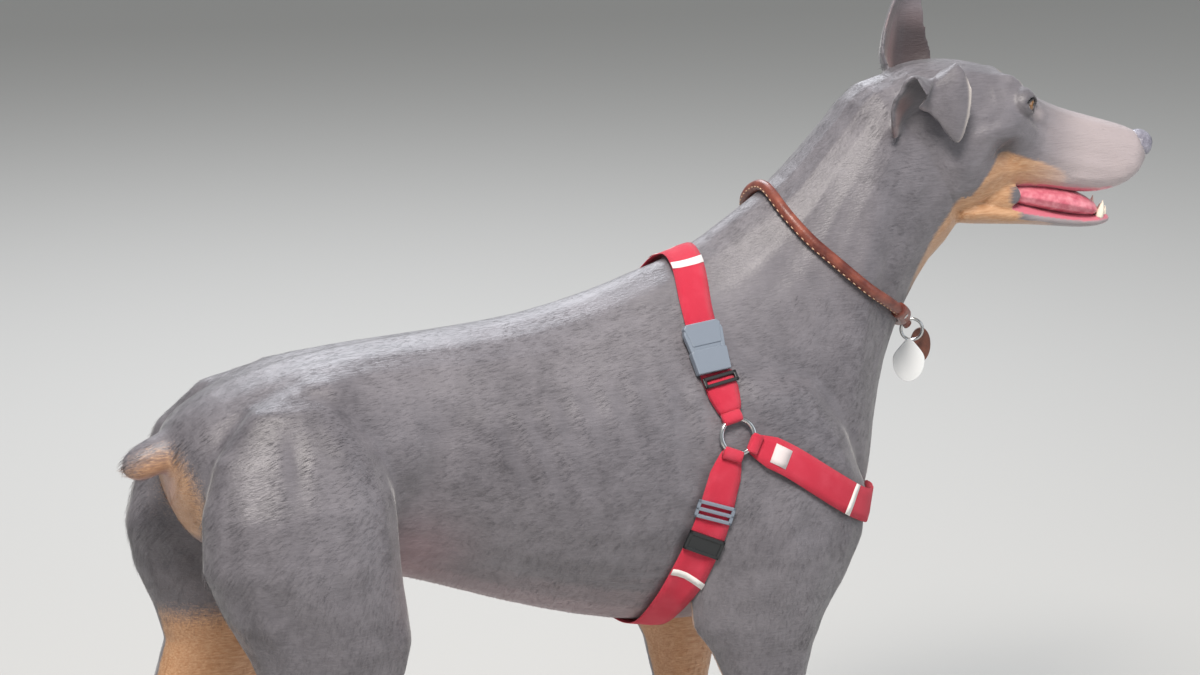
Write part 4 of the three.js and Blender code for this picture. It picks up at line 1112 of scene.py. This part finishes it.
buckleParts = {
    "female": scaled([(-23, -16), (-3, -17.5), (-1, -15), (-1, 15), (-3, 17.5), (-23, 16)]),
    "male": scaled([(2, -14.5), (8, -15), (20, -18), (23, -15), (23, 15), (20, 18), (8, 15), (2, 14.5)]),
    "neck": scaled([(-6, -13.2), (7, -13.2), (7, 13.2), (-6, 13.2)]),
    "armUpper": scaled([(-4, 12.5), (14, 13.5), (18, 18), (14, 19), (-4, 16.5)]),
    "armLower": scaled([(-4, -16.5), (14, -19), (18, -18), (14, -13.5), (-4, -12.5)]),
}
buckleAt = onBody((-49, -71, 597), (-4, 30, 42), webbing["clear"] + 0.001)
for name, mirror in (("buckle_right", Matrix.Identity(4)), ("buckle_left", mirrorY)):
    bm = bmesh.new()
    seat = mirror @ buckleAt
    prism(bm, seat, buckleParts["female"], 0.001, 0.0092, 0.0011)
    prism(bm, seat, buckleParts["male"], 0.001, 0.0086, 0.0011)
    prism(bm, seat, buckleParts["neck"], 0.0024, 0.0076, 0.0008)
    prism(bm, seat, buckleParts["armUpper"], 0.0022, 0.0080, 0.0009)
    prism(bm, seat, buckleParts["armLower"], 0.0022, 0.0080, 0.0009)
    bmesh.ops.recalc_face_normals(bm, faces=bm.faces[:])
    linkPiece(name, bm, greyPlastic, [name], smooth=False)


def plateFrame(bm, matrix, long, wide, thick, opening):
    # a flat frame with one or two slots: its bars are bevelled bars joined at the corners
    bar = 0.0032
    for x in (-long / 2 + bar / 2, long / 2 - bar / 2) + ((0.0,) if opening == 2 else ()):
        prism(
            bm,
            matrix,
            [
                (x - bar / 2, -wide / 2),
                (x + bar / 2, -wide / 2),
                (x + bar / 2, wide / 2),
                (x - bar / 2, wide / 2),
            ],
            0,
            thick,
            0.0008,
        )
    for y in (-wide / 2 + bar / 2, wide / 2 - bar / 2):
        prism(
            bm,
            matrix,
            [
                (-long / 2, y - bar / 2),
                (long / 2, y - bar / 2),
                (long / 2, y + bar / 2),
                (-long / 2, y + bar / 2),
            ],
            0,
            thick,
            0.0008,
        )


plateSeats = {
    "slider_dark": (
        (-43.5, -88, 571),
        (2, -9, -16),
        0.010,
        0.0335,
        0.0028,
        1,
        blackPlastic,
        "black_plastic",
    ),
    "slider_grey": (
        (-59, -107, 464),
        (-8, 0, -30),
        0.0165,
        0.0350,
        0.0030,
        2,
        greyPlastic,
        "grey_plastic",
    ),
    "keeper": ((-67, -104, 435), (-12, 4, -36), 0.0180, 0.0340, 0.0044, 0, blackPlastic, "black_plastic"),
}
dressed = treeOf([skin] + straps)
for name, (at, along, long, wide, thick, opening, material, slotName) in plateSeats.items():
    seat = onBody(at, along, 0.0003, 0.009, dressed)
    for ending, mirror in (("_right", Matrix.Identity(4)), ("_left", mirrorY)):
        bm = bmesh.new()
        plateFrame(bm, mirror @ seat, long, wide, thick, opening)
        if opening == 0:
            half = [long / 2 - 0.001, wide / 2 - 0.001]
            corners = [(-half[0], -half[1]), (half[0], -half[1]), (half[0], half[1]), (-half[0], half[1])]
            prism(bm, mirror @ seat, corners, 0.0002, thick * 0.8, 0.0006)
        bmesh.ops.recalc_face_normals(bm, faces=bm.faces[:])
        linkPiece(name + ending, bm, material, [name + ending], smooth=False)
print("harness done")


# Collar: rolled leather with a row of stitches, a flat riveted end, a ring, a tag and a tab

def leatherMaterial(name, low, high):
    material, tree, shader = blankMaterial(name)
    spot = node(tree, "TexCoord", {}).outputs["Object"]
    grain = node(tree, "TexVoronoi", {"Vector": spot, "Scale": 620.0}, feature="F1").outputs["Distance"]
    wear = noiseAt(tree, spot, 70.0, 5.0, 0.6)
    tone = mixed(tree, spread(tree, wear, 0.35, 0.7), linear(low), linear(high))
    bump = node(tree, "Bump", {"Height": grain, "Strength": 0.35, "Distance": 0.0005})
    feed(
        tree,
        shader,
        {
            "Base Color": tone,
            "Roughness": 0.42,
            "Coat Weight": 0.25,
            "Coat Roughness": 0.35,
            "Normal": bump.outputs[0],
        },
    )
    return material


rolledLeather = leatherMaterial("rolled brown leather", "#5f2a22", "#93503f")
tabLeather = leatherMaterial("flat brown leather", "#4e2c24", "#7a4a3a")
neckInside = place(115, -1, 664)
collarCorners = [
    (56, 0, 722),
    (61, -34, 702),
    (72, -54, 683),
    (90, -66, 665),
    (114, -71, 644),
    (140, -63, 627),
    (162, -42, 614),
    (173, -16, 606),
]
collarLoop = [place(*p) for p in collarCorners] + [place(x, -y, z) for x, y, z in collarCorners[:0:-1]]
collarSize = {"radius": 0.0053, "clear": 0.0004}
centres = []
for spot in splinePoints(collarLoop, 0.005, loop=True):
    outward = (spot - neckInside).normalized()
    centres.append(
        spot + outward * (surfaceAlong(spot, outward) + collarSize["radius"] + collarSize["clear"])
    )
for _ in range(3):
    centres = [
        (
            centres[i - 1] + centres[i] * 2 + centres[(i + 1) % len(centres)]
        ) / 4 for i in range(len(centres))
    ]


def tubeAlong(bm, centres, radius, section=14, loop=True, squash=None):
    rings = []
    count = len(centres)
    for i, centre in enumerate(centres):
        ahead = (centres[(i + 1) % count] - centres[i - 1]) if loop else (
            centres[min(i + 1, count - 1)] - centres[max(i - 1, 0)]
        )
        ahead.normalize()
        outward = (centre - neckInside).normalized()
        side = ahead.cross(outward).normalized()
        outward = side.cross(ahead)
        ring = []
        for j in range(section):
            a = 2 * math.pi * j / section
            flat = squash(i) if squash else (1, 1)
            reach = side * math.cos(a) * flat[0] + outward * math.sin(a) * flat[1]
            ring.append(bm.verts.new(centre + reach * radius))
        rings.append(ring)
    for i in range(count if loop else count - 1):
        n = (i + 1) % count
        for j in range(section):
            k = (j + 1) % section
            bm.faces.new((rings[i][j], rings[n][j], rings[n][k], rings[i][k]))
    if not loop:
        bm.faces.new(rings[0])
        bm.faces.new(rings[-1])


bm = bmesh.new()
tubeAlong(bm, centres, collarSize["radius"])
frontIndex = min(range(len(centres)), key=lambda i: (centres[i] - place(172, -18, 606)).length)
around = [centres[(frontIndex + k) % len(centres)] for k in range(-7, 5)]
tubeAlong(
    bm,
    [c + (c - neckInside).normalized() * 0.0008 for c in around],
    collarSize["radius"] * 1.12,
    loop=False,
    squash=lambda i: (1.25, 0.9),
)
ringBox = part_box("collar_ring")
ringCentre = (Vector(ringBox[0]) + Vector(ringBox[1])) / 2
lugFrom = centres[frontIndex]
lugLine = [lugFrom.lerp(ringCentre, k / 5) for k in range(4)]
tubeAlong(bm, lugLine, 0.0034, loop=False, squash=lambda i: (1.3, 0.9))
bmesh.ops.recalc_face_normals(bm, faces=bm.faces[:])
linkPiece("collar", bm, rolledLeather, ["collar"])

bm = bmesh.new()
for i in range(0, len(centres)):
    centre = centres[i]
    ahead = (centres[(i + 1) % len(centres)] - centres[i - 1]).normalized()
    outward = (centre - neckInside).normalized()
    down = ahead.cross(outward).normalized()
    if down.z > 0:
        down = -down
    spot = centre + (down * 0.8 + outward * 0.6).normalized() * collarSize["radius"] * 1.0
    turned = Matrix((ahead, down, outward)).transposed().to_4x4()
    bmesh.ops.create_uvsphere(
        bm,
        u_segments=8,
        v_segments=5,
        radius=1.0,
        matrix=Matrix.Translation(spot) @ turned @ Matrix.Diagonal((0.0017, 0.0007, 0.0007, 1)),
    )
linkPiece(
    "collar_stitching",
    bm,
    plainMaterial("pale waxed thread", {"Base Color": linear("#c9a78a"), "Roughness": 0.6}),
)

bm = bmesh.new()
rivetSpot = centres[(frontIndex - 5) % len(centres)]
rivetOut = (rivetSpot - neckInside).normalized()
rivetTurn = rivetOut.to_track_quat("Z", "Y").to_matrix().to_4x4()
rivetSeat = Matrix.Translation(rivetSpot + rivetOut * collarSize["radius"]) @ rivetTurn
rivetShape = Matrix.Diagonal((0.0031, 0.0031, 0.0013, 1))
bmesh.ops.create_uvsphere(bm, u_segments=20, v_segments=10, radius=1.0, matrix=rivetSeat @ rivetShape)
linkPiece("collar_rivet", bm, steel)

ringTurn = Matrix.Rotation(math.radians(-30), 4, "Z") @ Matrix.Rotation(math.pi / 2, 4, "X")
bm = bmesh.new()
torus(bm, Matrix.Translation(ringCentre) @ ringTurn, 0.010, 0.0015)
bmesh.ops.recalc_face_normals(bm, faces=bm.faces[:])
linkPiece("collar_ring", bm, steel, ["collar_ring"])


def hungOutline(bm, outline, thick, turn, spot, bevel):
    matrix = Matrix.Translation(spot) @ Matrix.Rotation(
        math.radians(turn), 4, "Z",
    ) @ Matrix.Rotation(math.pi / 2, 4, "X")
    prism(bm, matrix, outline, -thick / 2, thick / 2, bevel, 2)


tagOutline = []
for i in range(40):
    a = 2 * math.pi * i / 40
    narrowing = 1 - 0.42 * smoothStep(np.array([math.sin(a)]), 0.1, 1.0)[0]
    tagOutline.append((0.0148 * math.cos(a) * narrowing, 0.0060 + 0.0203 * math.sin(a)))
bm = bmesh.new()
hungOutline(bm, tagOutline, 0.0018, -27, ringCentre + Vector((-0.005, -0.004, -0.034)), 0.0004)
linkPiece(
    "tag",
    bm,
    plainMaterial(
        "white enamel", {"Base Color": linear("#eef1f3"), "Roughness": 0.16, "Coat Weight": 0.6},
    ),
    ["tag"],
    smooth=False,
)
tabOutline = []
for i in range(32):
    a = 2 * math.pi * i / 32
    tabOutline.append((0.0005 + 0.0098 * math.cos(a), -0.013 + 0.0168 * math.sin(a)))
bm = bmesh.new()
hungOutline(bm, tabOutline, 0.0028, -20, ringCentre + Vector((0.0115, 0.004, -0.004)), 0.0008)
linkPiece("collar_tab", bm, tabLeather, ["collar_tab"], smooth=False)
print("collar done")


# Eyes: an amber iris round a pupil under a wet clear coat, with dark rims of the lids

def gaze(sign):
    turned = Matrix.Rotation(
        math.radians(sign * eyeSpot["outward"]), 4, "Z",
    ) @ Matrix.Rotation(-math.radians(eyeSpot["upward"]), 4, "Y")
    x, y, z = eyeSpot["at"]
    return headToRow @ Matrix.Translation(Vector((x, sign * y, z)) / 1000) @ turned


def eyeMaterial():
    material, tree, shader = blankMaterial("wet amber eye")
    ring = attribute(tree, "ringward")
    spot = node(tree, "TexCoord", {}).outputs["Object"]
    fibres = noiseAt(tree, spot, 900.0, 3.0)
    iris = mixed(tree, fibres, linear("#5c3a1c"), linear("#a8763c"))
    iris = mixed(tree, spread(tree, ring, 0.46, 0.62), iris, linear("#2a1a10"))
    tone = mixed(tree, spread(tree, ring, 0.17, 0.2), linear("#050505"), iris)
    tone = mixed(tree, spread(tree, ring, 0.64, 0.72), tone, linear("#a79c98"))
    feed(
        tree, shader, {"Base Color": tone, "Roughness": 0.12, "Coat Weight": 1.0, "Coat Roughness": 0.02},
    )
    return material


amberEye = eyeMaterial()
lidSkin = plainMaterial(
    "dark wet lid rim", {"Base Color": linear("#1d1a1c"), "Roughness": 0.3, "Coat Weight": 0.4},
)
for name, sign in (("eye_left", 1), ("eye_right", -1)):
    bm = bmesh.new()
    bmesh.ops.create_uvsphere(bm, u_segments=48, v_segments=32, radius=1.0)
    bmesh.ops.rotate(bm, verts=bm.verts, matrix=Matrix.Rotation(math.pi / 2, 3, "Y"))
    ringShares = []
    for vert in bm.verts:
        away = math.acos(max(-1, min(1, vert.co.normalized().x)))
        ringShares.append(away)
        bulge = 0.0007 * math.exp(-((away / 0.5) ** 2))
        vert.co = vert.co.normalized() * (eyeSpot["radius"] / 1000 + bulge)
    bmesh.ops.transform(bm, matrix=gaze(sign), verts=bm.verts)
    eye = linkPiece(name, bm, amberEye, [name])
    writeAttributes(eye.data, {"ringward": np.array(ringShares)})

lidOpening = {"halfLong": 11.0, "halfTall": 5.6, "slant": 14}


def lidCurve(sign):
    seat = gaze(sign)
    spots = []
    for i in range(48):
        a = 2 * math.pi * i / 48
        y = lidOpening["halfLong"] * math.cos(a)
        z = lidOpening["halfTall"] * math.sin(a) * (1 - 0.25 * abs(math.cos(a)) ** 3)
        turn = -sign * math.radians(lidOpening["slant"])
        across, upward = y * math.cos(turn) - z * math.sin(turn), y * math.sin(turn) + z * math.cos(turn)
        reach = eyeSpot["radius"] + 0.5
        depth = math.sqrt(max(reach ** 2 - min(across ** 2 + upward ** 2, (reach * 0.985) ** 2), 0))
        spots.append(seat @ (Vector((depth, across, upward)) / 1000))
    return spots


for name, sign in (("lid_rim_left", 1), ("lid_rim_right", -1)):
    spots = lidCurve(sign)
    centre = gaze(sign).translation
    bm = bmesh.new()
    rings = []
    for i, spot in enumerate(spots):
        ahead = (spots[(i + 1) % len(spots)] - spots[i - 1]).normalized()
        outward = (spot - centre).normalized()
        side = ahead.cross(outward).normalized()
        rings.append(
            [
                bm.verts.new(
                    spot + side * math.cos(b) * 0.0011 + outward * math.sin(b) * 0.0009
                ) for b in [2 * math.pi * j / 10 for j in range(10)]
            ]
        )
    for i in range(len(rings)):
        n = (i + 1) % len(rings)
        for j in range(10):
            k = (j + 1) % 10
            bm.faces.new((rings[i][j], rings[n][j], rings[n][k], rings[i][k]))
    bmesh.ops.recalc_face_normals(bm, faces=bm.faces[:])
    linkPiece(name, bm, lidSkin)
print("eyes done")


# Nose and tongue from finer copies of their solids, teeth as tapered curved cones

def finerCopy(name, voxel, passes, amount=0.0003):
    mesh = fused([name], voxel, amount)
    points = relaxed(meshArrays(mesh), edgeArray(mesh), np.ones(len(mesh.vertices)), passes)
    mesh.vertices.foreach_set("co", points.ravel())
    mesh.update()
    bm = bmesh.new()
    bm.from_mesh(mesh)
    return bm


def wetMaterial(name, low, high, rough, cell, strength):
    material, tree, shader = blankMaterial(name)
    spot = node(tree, "TexCoord", {}).outputs["Object"]
    cells = node(tree, "TexVoronoi", {"Vector": spot, "Scale": cell}, feature="F1").outputs["Distance"]
    wear = noiseAt(tree, spot, 120.0, 4.0)
    tone = mixed(tree, spread(tree, wear, 0.35, 0.7), linear(low), linear(high))
    bump = node(tree, "Bump", {"Height": cells, "Strength": strength, "Distance": 0.0006}, invert=True)
    feed(
        tree,
        shader,
        {
            "Base Color": tone,
            "Roughness": rough,
            "Coat Weight": 0.35,
            "Coat Roughness": 0.15,
            "Normal": bump.outputs[0],
        },
    )
    return material


linkPiece(
    "nose",
    finerCopy("nose", 0.0007, 3),
    wetMaterial("slate nose leather", "#6f6d7b", "#a3a2b0", 0.42, 700.0, 0.5),
    ["nose"],
)
linkPiece(
    "tongue",
    finerCopy("tongue", 0.001, 8),
    wetMaterial("wet pink tongue", "#c55f72", "#ea9aa6", 0.3, 1100.0, 0.35),
    ["tongue"],
)
toothEnamel = plainMaterial(
    "tooth enamel", {"Base Color": linear("#efe8d6"), "Roughness": 0.22, "Coat Weight": 0.4},
)
bm = bmesh.new()
teeth = [((222, 12.5 * s, -51), 16.5, 3.9, 10) for s in (1, -1)] + [
    ((228, y, -50), 10, 2.7, 18) for y in (-6.6, -2.2, 2.2, 6.6)
]
for (x, y, z), tall, radius, lean in teeth:
    axis = headToRow @ Matrix.Translation(Vector((x, y, z)) / 1000) @ Matrix.Rotation(
        math.radians(lean), 4, "Y",
    )
    rings = []
    for i in range(9):
        t = i / 8
        wide = radius / 1000 * (1 - t ** 1.6) + 0.0002
        curl = 0.0022 * t * t
        rings.append(
            [
                bm.verts.new(
                    axis @ Vector((math.cos(b) * wide - curl, math.sin(b) * wide, tall / 1000 * t))
                ) for b in [2 * math.pi * j / 14 for j in range(14)]
            ]
        )
    for i in range(8):
        for j in range(14):
            k = (j + 1) % 14
            bm.faces.new((rings[i][j], rings[i][k], rings[i + 1][k], rings[i + 1][j]))
    bm.faces.new(rings[0])
    bm.faces.new(rings[-1])
bmesh.ops.recalc_face_normals(bm, faces=bm.faces[:])
linkPiece("teeth", bm, toothEnamel)
print("mouth done")


# Claws: dark horn over the claws of the solids

claws = bmesh.new()
toeFan = ((-20, 30, -18), (-6, 40, -7.5), (6, 40, 7.5), (20, 30, 18))


def hindSwing(x, z):
    drop = max(0, 510 - z) * 0.17
    return x - 50 * math.tanh(drop / 50)


for footX, footY, swung in ((32, 78, False), (32, -78, False), (-524, 78, True), (-524, -78, False)):
    for turn, reach, sideways in toeFan:
        mirror = 1 if footY > 0 else -1
        x = footX + reach
        if swung:
            x = hindSwing(x, 14)
        base = place(x, footY + sideways * mirror, 12.5)
        seat = Matrix.Translation(base) @ Matrix.Rotation(
            math.radians(turn * mirror), 4, "Z",
        ) @ Matrix.Rotation(math.radians(28), 4, "Y")
        rings = []
        for i in range(8):
            t = i / 7
            wide = 0.0046 * (1 - t ** 1.8) + 0.0003
            along = 0.0140 + 0.0130 * t
            rings.append(
                [
                    claws.verts.new(
                        seat @ Vector(
                            (along, math.cos(b) * wide * 0.8, math.sin(b) * wide + 0.004 * (1 - t))
                        )
                    ) for b in [2 * math.pi * j / 12 for j in range(12)]
                ]
            )
        for i in range(7):
            for j in range(12):
                k = (j + 1) % 12
                claws.faces.new((rings[i][j], rings[i][k], rings[i + 1][k], rings[i + 1][j]))
        claws.faces.new(rings[0])
        claws.faces.new(rings[-1])
bmesh.ops.recalc_face_normals(claws, faces=claws.faces[:])
linkPiece(
    "claws",
    claws,
    plainMaterial("dark horn", {"Base Color": linear("#2f2a2a"), "Roughness": 0.3, "Coat Weight": 0.3}),
)


# Stage: floor, light and camera

floorBm = bmesh.new()
bmesh.ops.create_grid(floorBm, x_segments=1, y_segments=1, size=14)
floor = objectFrom("floor", floorBm, smooth=False)
floor.data.materials.append(
    plainMaterial("pale floor", {"Base Color": linear("#bfbebb"), "Roughness": 0.8})
)

world = bpy.data.worlds.new("soft room")
world.use_nodes = True
world.node_tree.nodes["Background"].inputs[0].default_value = linear("#e8ecef")
world.node_tree.nodes["Background"].inputs[1].default_value = 0.42
bpy.context.scene.world = world


def softLight(name, spot, target, size, power, tint):
    lamp = bpy.data.lights.new(name, "AREA")
    lamp.shape = "DISK"
    lamp.size = size
    lamp.energy = power
    lamp.color = linear(tint)[:3]
    holder = bpy.data.objects.new(name, lamp)
    holder.location = spot
    holder.rotation_euler = (Vector(target) - Vector(spot)).to_track_quat("-Z", "Y").to_euler()
    bpy.context.scene.collection.objects.link(holder)


softLight("key", (-1.1, -1.9, 3.5), (-0.1, 0, 0.5), 1.3, 165, "#fff8f0")
softLight("fill", (2.6, -2.2, 1.4), (0.2, 0, 0.6), 2.4, 16, "#eef4ff")
softLight("back", (0.8, 2.6, 3.0), (0, 0, 0.6), 1.8, 90, "#f4f8ff")

lens = {
    "az": math.radians(-27),
    "el": math.radians(14),
    "distance": 3.5,
    "span": 1.075,
    "target": (-0.115, 0, 0.603),
}
towardsCamera = Vector(
    (
        math.sin(lens["az"]) * math.cos(lens["el"]),
        -math.cos(lens["az"]) * math.cos(lens["el"]),
        math.sin(lens["el"]),
    )
)
target = Vector(lens["target"]) + shift
cameraData = bpy.data.cameras.new("camera")
cameraData.sensor_width = 36
cameraData.lens = 36 * lens["distance"] / lens["span"]
camera = bpy.data.objects.new("camera", cameraData)
camera.location = target + towardsCamera * lens["distance"]
camera.rotation_euler = (-towardsCamera).to_track_quat("-Z", "Y").to_euler()
bpy.context.scene.collection.objects.link(camera)
bpy.context.scene.camera = camera
bpy.context.scene.view_settings.view_transform = "Standard"
